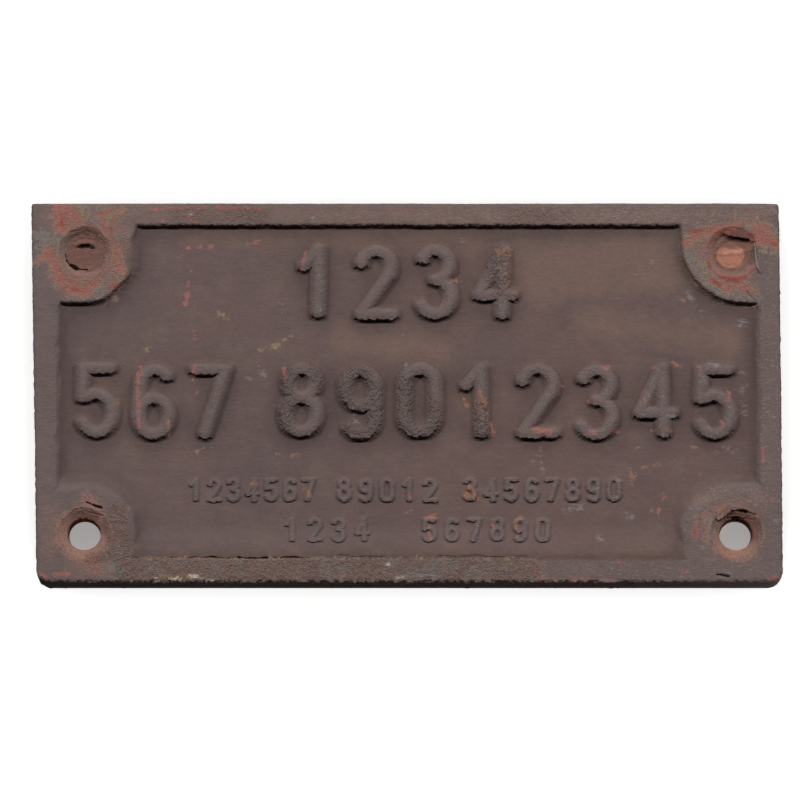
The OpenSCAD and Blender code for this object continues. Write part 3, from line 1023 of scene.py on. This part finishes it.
class WagonPlateStage(PropertyGroup):
    """Light and camera"""

    key_power: FloatProperty(
        name="Key power", description="Power of the lamp bar beyond the upper edge",
        default=87, min=0, unit="POWER",
    )
    key_angle: FloatProperty(
        name="Key angle", description="Lamp bar's angle from straight above the face",
        default=math.radians(32), subtype="ANGLE",
    )
    fill: FloatProperty(
        name="Fill", description="Strength of the even light from all round",
        default=0.014, min=0, subtype="FACTOR",
    )
    lid_power: FloatProperty(
        name="Lid power", description="Power of the light that the lid throws on the lower edge",
        default=0.085, min=0, precision=3, unit="POWER",
    )
    floor_power: FloatProperty(
        name="Floor power", description="Power of the lamp that whitens the floor",
        default=100, min=0, unit="POWER",
    )
    floor_glow: FloatProperty(
        name="Floor glow", description="Brightness of the floor where no lamp reaches",
        default=0.31, min=0, subtype="FACTOR",
    )
    camera_distance: FloatProperty(
        name="Camera distance", description="From the camera to the middle of the picture",
        default=2.4, min=0.5, unit="LENGTH",
    )
    camera_tilt: FloatProperty(
        name="Camera tilt", description="How far the camera looks in under the lower edge",
        default=math.radians(6.3), subtype="ANGLE",
    )
    view_width: FloatProperty(
        name="View width", description="Width of the scanner's bed, which the picture spans",
        default=216 * MM, unit="LENGTH",
    )


class Coat:
    """Lays the nodes of one material, whose sizes are in millimetres on the piece."""

    def __init__(self, name):
        self.material = bpy.data.materials.new(name)
        self.material.use_nodes = True
        self.tree = self.material.node_tree
        self.shader = self.tree.nodes["Principled BSDF"]
        self.place = self.node("ShaderNodeTexCoord").outputs["Object"]

    def node(self, kind, **settings):
        """A new node with these settings."""
        node = self.tree.nodes.new(kind)
        for name, value in settings.items():
            setattr(node, name, value)
        return node

    def feed(self, socket, value):
        """Links a socket's value to an input, or sets the input to a number or a colour."""
        if isinstance(value, bpy.types.NodeSocket):
            self.tree.links.new(value, socket)
        elif hasattr(value, "__len__") and len(value) == 3 and socket.type == "RGBA":
            socket.default_value = (*value, 1)
        else:
            socket.default_value = value

    def math(self, operation, a, b=0.0):
        """The result of a sum on two numbers or sockets."""
        node = self.node("ShaderNodeMath", operation=operation)
        self.feed(node.inputs[0], a)
        self.feed(node.inputs[1], b)
        return node.outputs[0]

    def total(self, *values):
        """The sum of (socket, share) pairs."""
        result = 0.0
        for socket, share in values:
            result = self.math("ADD", self.math("MULTIPLY", socket, share), result)
        return result

    def stretched(self, times):
        """Places drawn out this many times along the plate."""
        node = self.node("ShaderNodeMapping", vector_type="TEXTURE")
        node.inputs["Scale"].default_value = (times, 1, 1)
        self.feed(node.inputs["Vector"], self.place)
        return node.outputs[0]

    def noise(self, size, detail, roughness=0.5, place=None, seed=0.0):
        """Noise from -1 to 1 with lumps of this size."""
        shift = self.node("ShaderNodeVectorMath", operation="ADD")
        self.feed(shift.inputs[0], place or self.place)
        shift.inputs[1].default_value = (seed * 0.31, seed * 0.17, seed * 0.23)
        node = self.node("ShaderNodeTexNoise")
        self.feed(node.inputs["Vector"], shift.outputs[0])
        node.inputs["Scale"].default_value = 1 / (size * MM)
        node.inputs["Detail"].default_value = detail
        node.inputs["Roughness"].default_value = roughness
        return self.between(node.outputs["Fac"], 0.25, 0.75, -1, 1)

    def between(self, value, low, high, at_low=0.0, at_high=1.0, smooth=False):
        """A value brought from one range to another and held at its ends."""
        node = self.node("ShaderNodeMapRange")
        if smooth:
            node.interpolation_type = "SMOOTHSTEP"
        self.feed(node.inputs["Value"], value)
        for name, number in zip(
            ("From Min", "From Max", "To Min", "To Max"), (low, high, at_low, at_high)
        ):
            node.inputs[name].default_value = number
        return node.outputs["Result"]

    def attribute(self, name):
        """The number that stamp stored for each point by this name."""
        return self.node("ShaderNodeAttribute", attribute_name=name).outputs["Fac"]

    def across(self):
        """Place along the plate, in metres."""
        separate = self.node("ShaderNodeSeparateXYZ")
        self.feed(separate.inputs[0], self.place)
        return separate.outputs["X"]

    def mix(self, share, below, above):
        """The colour above laid over the colour below."""
        node = self.node("ShaderNodeMix", data_type="RGBA")
        self.feed(node.inputs["Factor"], share)
        self.feed(node.inputs["A"], below)
        self.feed(node.inputs["B"], above)
        return node.outputs["Result"]

    def layers(self, colour, gate, layers):
        """A colour under several others, all of them only where the gate is open.

        A layer is its amount, the amounts where it starts and is full, its share and colour.
        """
        for amount, low, high, share, over in layers:
            mask = self.math("MULTIPLY", gate, self.between(amount, low, high, 0, share))
            colour = self.mix(mask, colour, over)
        return colour

    def shade(self, colour, amount, share):
        """A colour made darker or lighter by this share, as a number runs from -1 to 1."""
        gain = self.between(amount, -1, 1, 1 - share, 1 + share)
        node = self.node("ShaderNodeVectorMath", operation="SCALE")
        self.feed(node.inputs[0], colour)
        self.feed(node.inputs["Scale"], gain)
        return node.outputs[0]

    def finish(self, colour, roughness, height, depth, level):
        """Joins colour, roughness, a relief of this depth and a level of shine to the shader."""
        bump = self.node("ShaderNodeBump")
        bump.inputs["Distance"].default_value = depth * MM
        self.feed(bump.inputs["Height"], height)
        self.feed(self.shader.inputs["Base Color"], colour)
        self.feed(self.shader.inputs["Roughness"], roughness)
        self.feed(self.shader.inputs["Normal"], bump.outputs[0])
        self.shader.inputs["Specular IOR Level"].default_value = level
        return self.material


def paint_noises(coat):
    """The noises and marks that several layers of the old paint share."""
    n = SimpleNamespace(
        broad=coat.noise(30, 2),
        middle=coat.noise(7, 3, seed=3),
        hue=coat.noise(5, 5, 0.62, seed=11),
        patch=coat.noise(2.6, 4, 0.62, seed=5),
        small=coat.noise(1.0, 3, seed=7),
        speck=coat.noise(0.62, 3, 0.6, seed=13),
        fine=coat.noise(0.36, 2, 0.6, seed=9),
        brushed=coat.noise(0.9, 3, place=coat.stretched(6), seed=15),
        scratch=coat.noise(0.42, 2, 0.6, place=coat.stretched(4), seed=19),
        raised=coat.attribute("raised"),
    )
    n.flakes = coat.total((n.patch, 0.65), (n.small, 0.55), (n.scratch, 0.3), (n.fine, 0.15))
    n.flecks = coat.total((n.speck, 0.8), (n.hue, 0.5), (n.fine, 0.3))
    n.thin = coat.total((n.small, 0.75), (n.scratch, 0.45), (n.fine, 0.25))
    patina = coat.total((coat.attribute("patina"), 0.4), (n.hue, 0.5), (n.patch, 0.4))
    n.patina = coat.between(patina, -0.4, 0.5)
    scale = coat.total((coat.attribute("scale"), 1), (n.patch, 0.6), (n.small, 0.4))
    n.scale = coat.between(scale, 0.0, 0.6)
    warmth = coat.total((coat.attribute("warmth"), 0.35), (n.hue, 0.5), (n.patch, 0.3))
    n.warmth = coat.between(warmth, -0.7, 1.0, 0, 0.8)
    return n


def top_coat(coat, colours, n):
    """The brown top coat: greyer on the left, with warmer and yellower clouds and brush marks."""
    rightward = coat.between(coat.across(), -70 * MM, 10 * MM, -0.45, 0.3)
    warm = coat.total((n.broad, 0.7), (n.hue, 0.8), (n.patch, 0.4), (n.speck, 0.4), (rightward, 1))
    colour = coat.mix(coat.between(warm, -0.9, 0.9), colours.paint_cool, colours.paint)
    stained = coat.total((n.hue, -0.8), (n.middle, 0.8), (n.speck, 0.5), (n.brushed, 0.3))
    colour = coat.mix(coat.between(stained, 0.05, 1.1, 0, 0.6), colour, colours.tan)
    dust = coat.math("MULTIPLY", coat.attribute("dust"), coat.between(n.patch, -1, 1, 0.1, 0.6))
    colour = coat.mix(dust, colour, colours.dust)
    colour = coat.mix(coat.math("MULTIPLY", n.raised, 0.85), colour, colours.worn)
    colour = coat.mix(n.warmth, colour, coat.mix(n.raised, colours.dust, colours.worn_warm))
    tone = coat.total(
        (n.broad, 0.45), (n.middle, 0.4), (n.patch, 0.35), (n.small, 0.3), (n.fine, 0.4)
    )
    colour = coat.shade(colour, tone, 0.16)
    colour = coat.shade(colour, coat.total((n.brushed, 0.6), (n.scratch, 0.6)), 0.06)
    # Painted shade on the field round everything that stands up, deepest just below an edge
    foot = coat.math("MULTIPLY", coat.attribute("foot"), coat.math("SUBTRACT", 1.0, n.raised))
    return coat.shade(colour, coat.math("MULTIPLY", foot, -1.0), 0.3)


def older_coats(coat, colours, n, primer, colour):
    """Grains and flakes of older coats, and the crust of rust, laid over the top coat."""
    # Grains on everything that stands up, most of all on the warm rims and at the right
    side = coat.between(coat.across(), -60 * MM, 60 * MM, -0.15, 0.15)
    lift = coat.math("ADD", side, coat.math("MULTIPLY", n.warmth, 0.2))
    for first, second, low, high, share, over in (
        (n.scratch, n.fine, 0.55, 0.85, 0.6, colours.scuff),
        (n.scratch, n.small, -0.6, -1.0, 0.45, colours.bowl),
        (n.fine, n.small, 0.72, 0.9, 0.75, colours.scuff),
        (n.speck, n.fine, 0.66, 0.85, 0.6, colours.rust),
        (n.speck, n.patch, -0.6, -0.85, 0.5, colours.undercoat),
    ):
        grains = coat.total((first, 0.85), (second, 0.4), (lift, math.copysign(1, low)))
        colour = coat.layers(colour, n.raised, [(grains, low, high, share, over)])

    # Several coats at once, flake by flake
    colour = coat.layers(colour, n.patina, (
        (n.hue, -1.0, 0.2, 0.75, colours.pink),
        (n.flakes, 0.02, 0.22, 0.85, colours.undercoat),
        (n.flakes, -0.35, -0.52, 0.85, primer),
        (n.thin, 0.38, 0.58, 0.75, colours.undercoat),
        (n.thin, -0.45, -0.62, 0.75, colours.red_lead),
        (n.flecks, 0.5, 0.7, 0.7, colours.ochre),
        (n.flecks, -0.6, -0.8, 0.55, colours.bowl),
    ))

    # Scale: grains of rust and pale lime, and black pits of near-black painted shade, in patches
    clouds = coat.total((n.hue, 0.6), (n.patch, 0.5), (n.small, 0.3))
    return coat.layers(colour, n.scale, (
        (n.flecks, -1.4, 0.4, 0.95, colours.worn_warm),
        (clouds, -0.1, 0.4, 0.75, colours.undercoat),
        (n.thin, 0.2, 0.5, 0.7, colours.undercoat),
        (clouds, -0.3, -0.8, 0.4, colours.bowl),
        (n.flakes, 0.3, 0.6, 0.5, colours.rust),
        (n.flecks, 0.55, 0.8, 0.85, colours.scuff),
        (n.flakes, -0.7, -0.9, 0.4, colours.painted_crevice_shade),
    ))


def worn_marks(coat, colours, n, primer, colour):
    """The marks of wear, each with a ragged edge, laid over the coats."""
    ragged = coat.total((n.patch, 0.6), (n.small, 0.6), (n.fine, 0.25))
    streaky = coat.total((n.brushed, 0.6), (n.scratch, 0.7), (n.small, 0.3))
    flaky = coat.total((n.brushed, 0.5), (n.scratch, 0.4), (n.patch, 0.35))
    shine = coat.total((n.small, 0.5), (n.fine, 0.8))
    # Each wear: attribute, how steep it is, how ragged, where it starts and is full, and colour
    for wear, slope, rough, low, high, share, over in (
        ("bloom", 0.5, (ragged, 0.6), -0.45, 0.45, 0.75, colours.pink),
        ("cups", 0.35, (ragged, 0.7), -0.35, 0.55, 0.8, colours.rust_pale),
        # The bowls hold rust and also painted shade in the countersinks
        ("bowls", 0.5, (ragged, 0.5), -0.6, 0.6, 0.9, colours.bowl),
        ("undercoat", 0.55, (ragged, 1.2), -0.25, 0.2, 0.8, colours.undercoat),
        ("ochre", 1.0, (ragged, 0.9), -0.4, 0.3, 0.65, colours.ochre),
        ("rust", 1.0, (ragged, 0.8), -0.4, 0.3, 0.65, colours.rust),
        ("red_traces", 1.1, (flaky, 0.8), -0.35, 0.3, 0.8, primer),
        ("red_lead", 0.6, (ragged, 0.95), -0.75, -0.35, 0.4, colours.ochre),
        ("red_lead", 0.6, (ragged, 0.95), -0.3, 0.1, 0.9, primer),
        ("maroon", 0.8, (ragged, 0.5), -0.3, 0.5, 0.9, colours.maroon),
        ("deep_red", 1.0, (ragged, 0.8), -0.4, 0.35, 0.85, colours.deep_red),
        ("scuffs", 0.9, (streaky, 1.0), -0.4, 0.6, 0.5, colours.scuff),
        ("lime", 1.6, (ragged, 0.8), -0.25, 0.35, 0.85, colours.lime),
    ):
        depth = coat.total((coat.attribute(wear), slope), rough)
        mask = coat.between(depth, low, high, 0, share, smooth=True)
        colour = coat.mix(mask, colour, coat.shade(over, shine, 0.3))
    return colour


def worn_rings(coat, colours, n, colour):
    """Rings of coats that wore through round the countersinks, laid over the rest."""
    ring = coat.attribute("ring")
    near = coat.math(
        "MULTIPLY", coat.between(ring, 9.6, 7.6), coat.between(ring, 4.6, 5.6, smooth=True)
    )
    for pace, share, over in (
        (2.7, 0.5, colours.rust_pale), (3.9, 0.45, colours.bowl), (6.3, 0.5, colours.undercoat),
        (5.1, 0.45, colours.red_lead),
    ):
        turn = coat.total((ring, pace), (n.patch, 1.8), (n.small, 1.0), (n.fine, 0.3))
        band = coat.between(coat.math("SINE", turn), 0.35, 0.85, 0, share)
        band = coat.math("MULTIPLY", band, coat.between(n.flakes, -0.5, 0.5))
        colour = coat.mix(coat.math("MULTIPLY", band, near), colour, over)
    return colour


def old_paint(colours):
    """Brown paint on cast iron, worn to its primer in places and lifted by rust in others."""
    coat = Coat("old_paint_on_cast_iron")
    n = paint_noises(coat)
    primer = coat.mix(coat.between(n.flecks, 0.4, 0.8, 0, 0.8), colours.red_lead, colours.deep_red)
    primer = coat.mix(coat.between(n.flakes, 0.3, 0.6, 0, 0.75), primer, colours.pink)
    colour = top_coat(coat, colours, n)
    colour = older_coats(coat, colours, n, primer, colour)
    colour = worn_marks(coat, colours, n, primer, colour)
    colour = worn_rings(coat, colours, n, colour)
    # Painted shade: the cracks turn near-black towards their bottoms
    crack = coat.between(coat.attribute("crack"), 0.08, 0.4, smooth=True)
    colour = coat.mix(crack, colour, colours.painted_crevice_shade)

    roughness = coat.between(coat.total((n.middle, 0.5), (n.fine, 0.5)), -1, 1, 0.62, 0.8)
    coarse = coat.math("MULTIPLY", coat.between(coat.attribute("coarse"), -1, 1.5), n.raised)
    rough_share = coat.total((coarse, 1.0), (n.scale, 1.5), (n.raised, 0.5), (n.patina, 0.6))
    rough = coat.total((n.small, 0.6), (n.fine, 0.8), (n.speck, 0.5))
    smooth = coat.total(
        (n.fine, 0.2), (n.small, 0.2), (n.patch, 0.25), (n.brushed, 0.12), (n.scratch, 0.1)
    )
    relief = coat.math("ADD", coat.math("MULTIPLY", rough, rough_share), smooth)
    return coat.finish(colour, roughness, relief, 0.09, 0.2)


def broken_iron(name, colours, base, seed):
    """Bare broken iron, rusted over, with painted shade in its pits."""
    coat = Coat(name)
    middle, small = coat.noise(2.2, 3, seed=seed), coat.noise(0.7, 3, seed=seed + 2)
    fine = coat.noise(0.24, 3, 0.6, seed=seed + 4)
    torn = coat.noise(1.0, 4, 0.62, place=coat.stretched(3), seed=seed + 6)
    tone = coat.total((middle, 0.4), (small, 0.3), (torn, 0.35), (fine, 0.3))
    colour = coat.shade(base, tone, 0.25)
    bright = coat.total((torn, 0.6), (small, 0.3), (fine, 0.2), (coat.attribute("glint"), 0.9))
    colour = coat.mix(coat.between(bright, 0.35, 1.2, 0, 0.7), colour, colours.glint)
    # Red-brown towards the edges: rust on the left stub, and painted shade under the flap and round
    # the disc on the right one
    bowl_rust_and_shade = coat.total((coat.attribute("bowl_rust_and_shade"), 1), (small, 0.2), (torn, 0.2))
    colour = coat.mix(coat.between(bowl_rust_and_shade, 0.1, 0.9, 0, 0.85, smooth=True), colour, colours.bowl)
    red = coat.between(coat.total((middle, -0.6), (small, 0.5)), 0.1, 1.0, 0, 0.45)
    colour = coat.mix(red, colour, colours.red_lead)
    # Painted shade: near-black in the pits of the broken end
    pit = coat.between(coat.attribute("hollow"), 0.15, 0.5, smooth=True)
    colour = coat.mix(pit, colour, colours.painted_crevice_shade)
    roughness = coat.between(small, -1, 1, 0.55, 0.78)
    relief = coat.total((small, 0.5), (torn, 0.5), (fine, 0.6))
    return coat.finish(colour, roughness, relief, 0.05, 0.25)


def white_lid(glow):
    """The scanner's pale lid, on which the plate lies."""
    coat = Coat("white_lid")
    tone = coat.noise(60, 2)
    coat.feed(coat.shader.inputs["Base Color"], coat.shade((0.8, 0.8, 0.79), tone, 0.01))
    coat.shader.inputs["Roughness"].default_value = 0.8
    coat.shader.inputs["Specular IOR Level"].default_value = 0.2
    coat.shader.inputs["Emission Color"].default_value = (1, 1, 1, 1)
    coat.shader.inputs["Emission Strength"].default_value = glow
    return coat.material


def stamp_marks(piece):
    """Stores on a piece how far each of its points lies inside each kind of mark."""
    points = points_of(piece)
    for name, marks in MARKS.items():
        stamp(piece, name, depth_in(points, marks))
    stamp(piece, "crack", crack_at(points))
    # Rings show round all holes but the upper right one. A centre is a line of no length.
    centres = ((-HOLE_X, HOLE_Y), (-HOLE_X, -HOLE_Y), (HOLE_X + HOLE_SHIFT, -HOLE_Y))
    stamp(piece, "ring", np.min([gap_to(points, centre * 2) for centre in centres], axis=0))


def lamp(name, place, size, power, receivers):
    """A lamp panel that faces the plate and lights only these objects."""
    bpy.ops.object.light_add(type="AREA", location=place)
    panel = bpy.context.object
    panel.name = name
    panel.data.shape = "RECTANGLE"
    panel.data.size, panel.data.size_y = size
    panel.data.energy = power
    panel.rotation_euler = (-Vector(place)).to_track_quat("-Z", "Y").to_euler()
    panel.visible_camera = False
    panel.light_linking.receiver_collection = receivers


def room(fill):
    """A world that is white to the camera and lights everything evenly and faintly."""
    world = bpy.data.worlds.new("room")
    world.use_nodes = True
    nodes, links = world.node_tree.nodes, world.node_tree.links
    nodes.clear()
    seen, even = nodes.new("ShaderNodeBackground"), nodes.new("ShaderNodeBackground")
    seen.inputs["Color"].default_value = (0.93, 0.93, 0.92, 1)
    even.inputs["Strength"].default_value = fill
    path, mix = nodes.new("ShaderNodeLightPath"), nodes.new("ShaderNodeMixShader")
    links.new(path.outputs["Is Camera Ray"], mix.inputs["Fac"])
    links.new(even.outputs[0], mix.inputs[1])
    links.new(seen.outputs[0], mix.inputs[2])
    links.new(mix.outputs[0], nodes.new("ShaderNodeOutputWorld").inputs["Surface"])
    return world


def scanner_camera(tilt, distance, width):
    """A camera that looks down on the face from afar, a little from below the lower edge."""
    bpy.ops.object.camera_add()
    camera = bpy.context.object
    camera.name = "camera"
    camera.data.lens = camera.data.sensor_width * distance / width
    camera.data.clip_end = 20
    away = Vector((0, -math.sin(tilt), math.cos(tilt)))
    camera.location = Vector((*PICTURE_MIDDLE, FACE_Z)) * MM + away * distance
    camera.rotation_euler = (tilt, 0, 0)
    return camera


class WAGON_PLATE_OT_casting(Operator):
    """Replaces the plain casting with the weathered one"""

    bl_idname = "wagon_plate.casting"
    bl_label = "Casting"

    def execute(self, context):
        sizes = context.scene.wagon_plate_sizes
        piece = copy_of_node("plate_casting", "iron_casting")
        remesh(piece, sizes.voxel * coarseness())
        apply_modifier(piece, "SMOOTH", iterations=1)
        ground.clear()
        ground.add(points_of(piece))
        move_points(piece, as_moulded(banked(stood_up(rounded_bores(points_of(piece))))))
        move_points(piece, weathered(points_of(piece), normals_of(piece)))
        thin_out(piece, sizes.triangles)
        if triangle_count(piece) > MOST_TRIANGLES:
            raise RuntimeError("the casting has too many triangles for its STL file")
        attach(piece, "root")
        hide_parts("plate_casting")
        return {"FINISHED"}


class WAGON_PLATE_OT_numerals(Operator):
    """Adds the raised numerals to the casting's field"""

    bl_idname = "wagon_plate.numerals"
    bl_label = "Numerals"

    def execute(self, context):
        sizes = context.scene.wagon_plate_sizes
        for name, rows, voxel in (
            ("large_numerals", NUMERAL_ROWS, sizes.numeral_voxel),
            ("small_numerals", SMALL_ROWS, sizes.small_numeral_voxel),
        ):
            piece = numerals(name, rows, voxel * coarseness(), sizes.triangles)
            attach(piece, "root")
        return {"FINISHED"}


class WAGON_PLATE_OT_stubs(Operator):
    """Replaces both plain rivet stubs with torn and rusted ones"""

    bl_idname = "wagon_plate.stubs"
    bl_label = "Rivet stubs"

    def execute(self, context):
        sizes, colours = context.scene.wagon_plate_sizes, context.scene.wagon_plate_colours
        for side, centre_x, base, seed in (
            ("left", -HOLE_X, colours.stub_left, 20),
            ("right", HOLE_X, colours.stub_right, 40),
        ):
            centre = (centre_x, HOLE_Y, 0)
            piece = copy_of_node(f"rivet_stub_{side}", f"broken_stub_{side}")
            remesh(piece, sizes.stub_voxel * coarseness())
            points = points_of(piece) - centre
            # Rust has swollen the shank's mouth until it sits tight in the hole
            points[:, :2] *= 1 + 0.2 * smoothstep(6.4, 7.1, points[:, 2])[:, None]
            top = smoothstep(0.3, 0.7, normals_of(piece)[:, 2]) * smoothstep(5, 7, points[:, 2])
            height = torn_top(points, side) - crack_at(points + centre)
            points[:, 2] += top * (SINK_Z + height - points[:, 2])
            move_points(piece, points + centre)
            stamp(piece, "hollow", -height * top)
            x, y, _ = points.T
            if side == "right":
                edge = np.hypot(x + 0.3, y + 0.8) + 0.4 * grain(points, 1.9, 36)
                # Painted shade over the disc's upper part, where the flap shades it, and round its
                # edge in the countersink
                bowl_rust_and_shade = smoothstep(0.5, 2.4, y + 0.5 * grain(points, 1.5, 35))
                bowl_rust_and_shade += smoothstep(3.1, 4.1, edge)
                glint = 1.2 - gap_to(points, (-1.6, 0.2, 2.4, 0.5))
            else:
                # Red-brown rust towards the stub's edge, off to the lower left
                bowl_rust_and_shade = 0.9 * smoothstep(2.8, 4.4, np.hypot(x + 1.2, y + 0.6))
                glint = 0.9 - gap_to(points, (-2.6, 2.9, 0.4, 3.3))
            stamp(piece, "glint", glint)
            stamp(piece, "bowl_rust_and_shade", bowl_rust_and_shade)
            shade_smooth(piece, 60)
            piece.data.materials.append(broken_iron(f"rusted_stub_{side}", colours, base, seed))
            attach(piece, "root")
            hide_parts(f"rivet_stub_{side}")
        return {"FINISHED"}


class WAGON_PLATE_OT_flakes(Operator):
    """Adds the lifted flakes of paint and rust round the holes, and the burr of the right rivet"""

    bl_idname = "wagon_plate.flakes"
    bl_label = "Flakes and burr"

    def execute(self, context):
        colours = context.scene.wagon_plate_colours
        sheets = [flake(index, *sheet) for index, sheet in enumerate(FLAKES)]
        select_only(*sheets)
        bpy.ops.object.join()
        piece = context.object
        piece.name = "paint_flakes"
        burr = burr_of(BURR)
        burr.data.materials.append(broken_iron("bare_burr", colours, colours.burr, 60))
        for part in (piece, burr):
            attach(part, "root")
        return {"FINISHED"}


class WAGON_PLATE_OT_paint(Operator):
    """Lays the old paint and its wear over the casting, the numerals and the flakes"""

    bl_idname = "wagon_plate.paint"
    bl_label = "Paint"

    def execute(self, context):
        paint = old_paint(context.scene.wagon_plate_colours)
        large = bpy.data.objects["large_numerals"]
        ground.add(points_of(large))
        crowd, shelf = ground.crowd(), ground.shelf()
        # Heights above the field from which a piece's paint counts as raised
        for name, low, high in (
            ("iron_casting", 0.35, 1.3), (large.name, 0.35, 1.3), ("paint_flakes", 0.35, 1.3),
            ("small_numerals", 0.05, 0.32),
        ):
            piece = bpy.data.objects[name]
            stamp_marks(piece)
            points = points_of(piece)
            x, y, z = points.T
            # Away from the pads, the field's climb to the lower rim doesn't count
            off_pads = smoothstep(12, 16, np.hypot(abs(x) - HOLE_X, y + HOLE_Y))
            above = z - FIELD_Z - np.where(y > -45.4, off_pads * run_up(points), 0)
            stamp(piece, "raised", smoothstep(low, high, above))
            # Painted shade round everything that stands up, which the top coat darkens by
            stamp(piece, "foot", np.clip(ground.read(crowd, points) / 0.4, 0, 1))
            stamp(piece, "dust", np.clip(ground.read(shelf, points), 0, 1))
            shade_smooth(piece, 50)
            piece.data.materials.append(paint)
        return {"FINISHED"}


class WAGON_PLATE_OT_stage(Operator):
    """Sets the floor, the lamps and the camera"""

    bl_idname = "wagon_plate.stage"
    bl_label = "Stage"

    def execute(self, context):
        stage = context.scene.wagon_plate_stage
        pieces = bpy.data.collections.new("lit_by_the_lamp_bar")
        for piece in context.scene.objects:
            if piece.type == "MESH":
                pieces.objects.link(piece)

        bpy.ops.object.select_all(action="DESELECT")
        bpy.ops.mesh.primitive_plane_add(size=4, location=(0, 0, -0.1 * MM))
        floor = context.object
        floor.name = "floor"
        bpy.ops.object.transform_apply(location=True, rotation=True, scale=True)
        floor.data.materials.append(white_lid(stage.floor_glow))
        # The lamps below the floor shine through it, and it throws no light on the plate itself
        floor.visible_diffuse = floor.visible_glossy = floor.visible_shadow = False
        lid = bpy.data.collections.new("lit_by_the_side_lamps")
        lid.objects.link(floor)

        reach = 2.0
        key = (0, reach * math.sin(stage.key_angle), reach * math.cos(stage.key_angle))
        lamp("lamp_bar", key, (6, 0.12), stage.key_power, pieces)
        for name, place, size, share in (
            ("lid_light", (0.15, -0.08, -0.015), (0.05, 0.03), 0.28),
            ("lid_glow", (-0.02, -0.25, -0.05), (0.4, 0.05), 1),
        ):
            lamp(name, place, size, share * stage.lid_power, pieces)
        away, up = 3, 1.4
        for name, x, y in (("east", 1, 0), ("north", 0, 1), ("west", -1, 0), ("south", 0, -1)):
            place = (away * x, away * y, up)
            lamp(f"side_lamp_{name}", place, (3, 0.4), stage.floor_power, lid)

        context.scene.world = room(stage.fill)
        context.scene.camera = scanner_camera(
            stage.camera_tilt, stage.camera_distance, stage.view_width
        )
        context.scene.view_settings.view_transform = "Standard"
        return {"FINISHED"}


class WAGON_PLATE_PT_sidebar(Panel):
    """Shows the plate's sizes, colours and stage settings, and a button for each step"""

    bl_label = "Wagon Plate"
    bl_idname = "WAGON_PLATE_PT_sidebar"
    bl_space_type = "VIEW_3D"
    bl_region_type = "UI"
    bl_category = "Wagon Plate"

    def draw(self, context):
        for group_name in GROUPS:
            group = getattr(context.scene, group_name)
            column = self.layout.column()
            for name in group.__annotations__:
                column.prop(group, name)
        for operator in OPERATORS:
            self.layout.operator(operator.bl_idname)


GROUPS = {
    "wagon_plate_sizes": WagonPlateSizes,
    "wagon_plate_colours": WagonPlateColours,
    "wagon_plate_stage": WagonPlateStage,
}

OPERATORS = (
    WAGON_PLATE_OT_casting,
    WAGON_PLATE_OT_numerals,
    WAGON_PLATE_OT_stubs,
    WAGON_PLATE_OT_flakes,
    WAGON_PLATE_OT_paint,
    WAGON_PLATE_OT_stage,
)

CLASSES = (*GROUPS.values(), *OPERATORS, WAGON_PLATE_PT_sidebar)


def register():
    """Registers the classes and gives each scene their properties."""
    for cls in CLASSES:
        bpy.utils.register_class(cls)
    for name, group in GROUPS.items():
        setattr(bpy.types.Scene, name, PointerProperty(type=group))


def unregister():
    """Takes the properties and the classes away again."""
    for name in GROUPS:
        delattr(bpy.types.Scene, name)
    for cls in reversed(CLASSES):
        bpy.utils.unregister_class(cls)


def main():
    """Builds the plate and its stage."""
    register()
    bpy.ops.wagon_plate.casting()
    bpy.ops.wagon_plate.numerals()
    bpy.ops.wagon_plate.stubs()
    bpy.ops.wagon_plate.flakes()
    bpy.ops.wagon_plate.paint()
    bpy.ops.wagon_plate.stage()


if __name__ == "__main__":
    main()
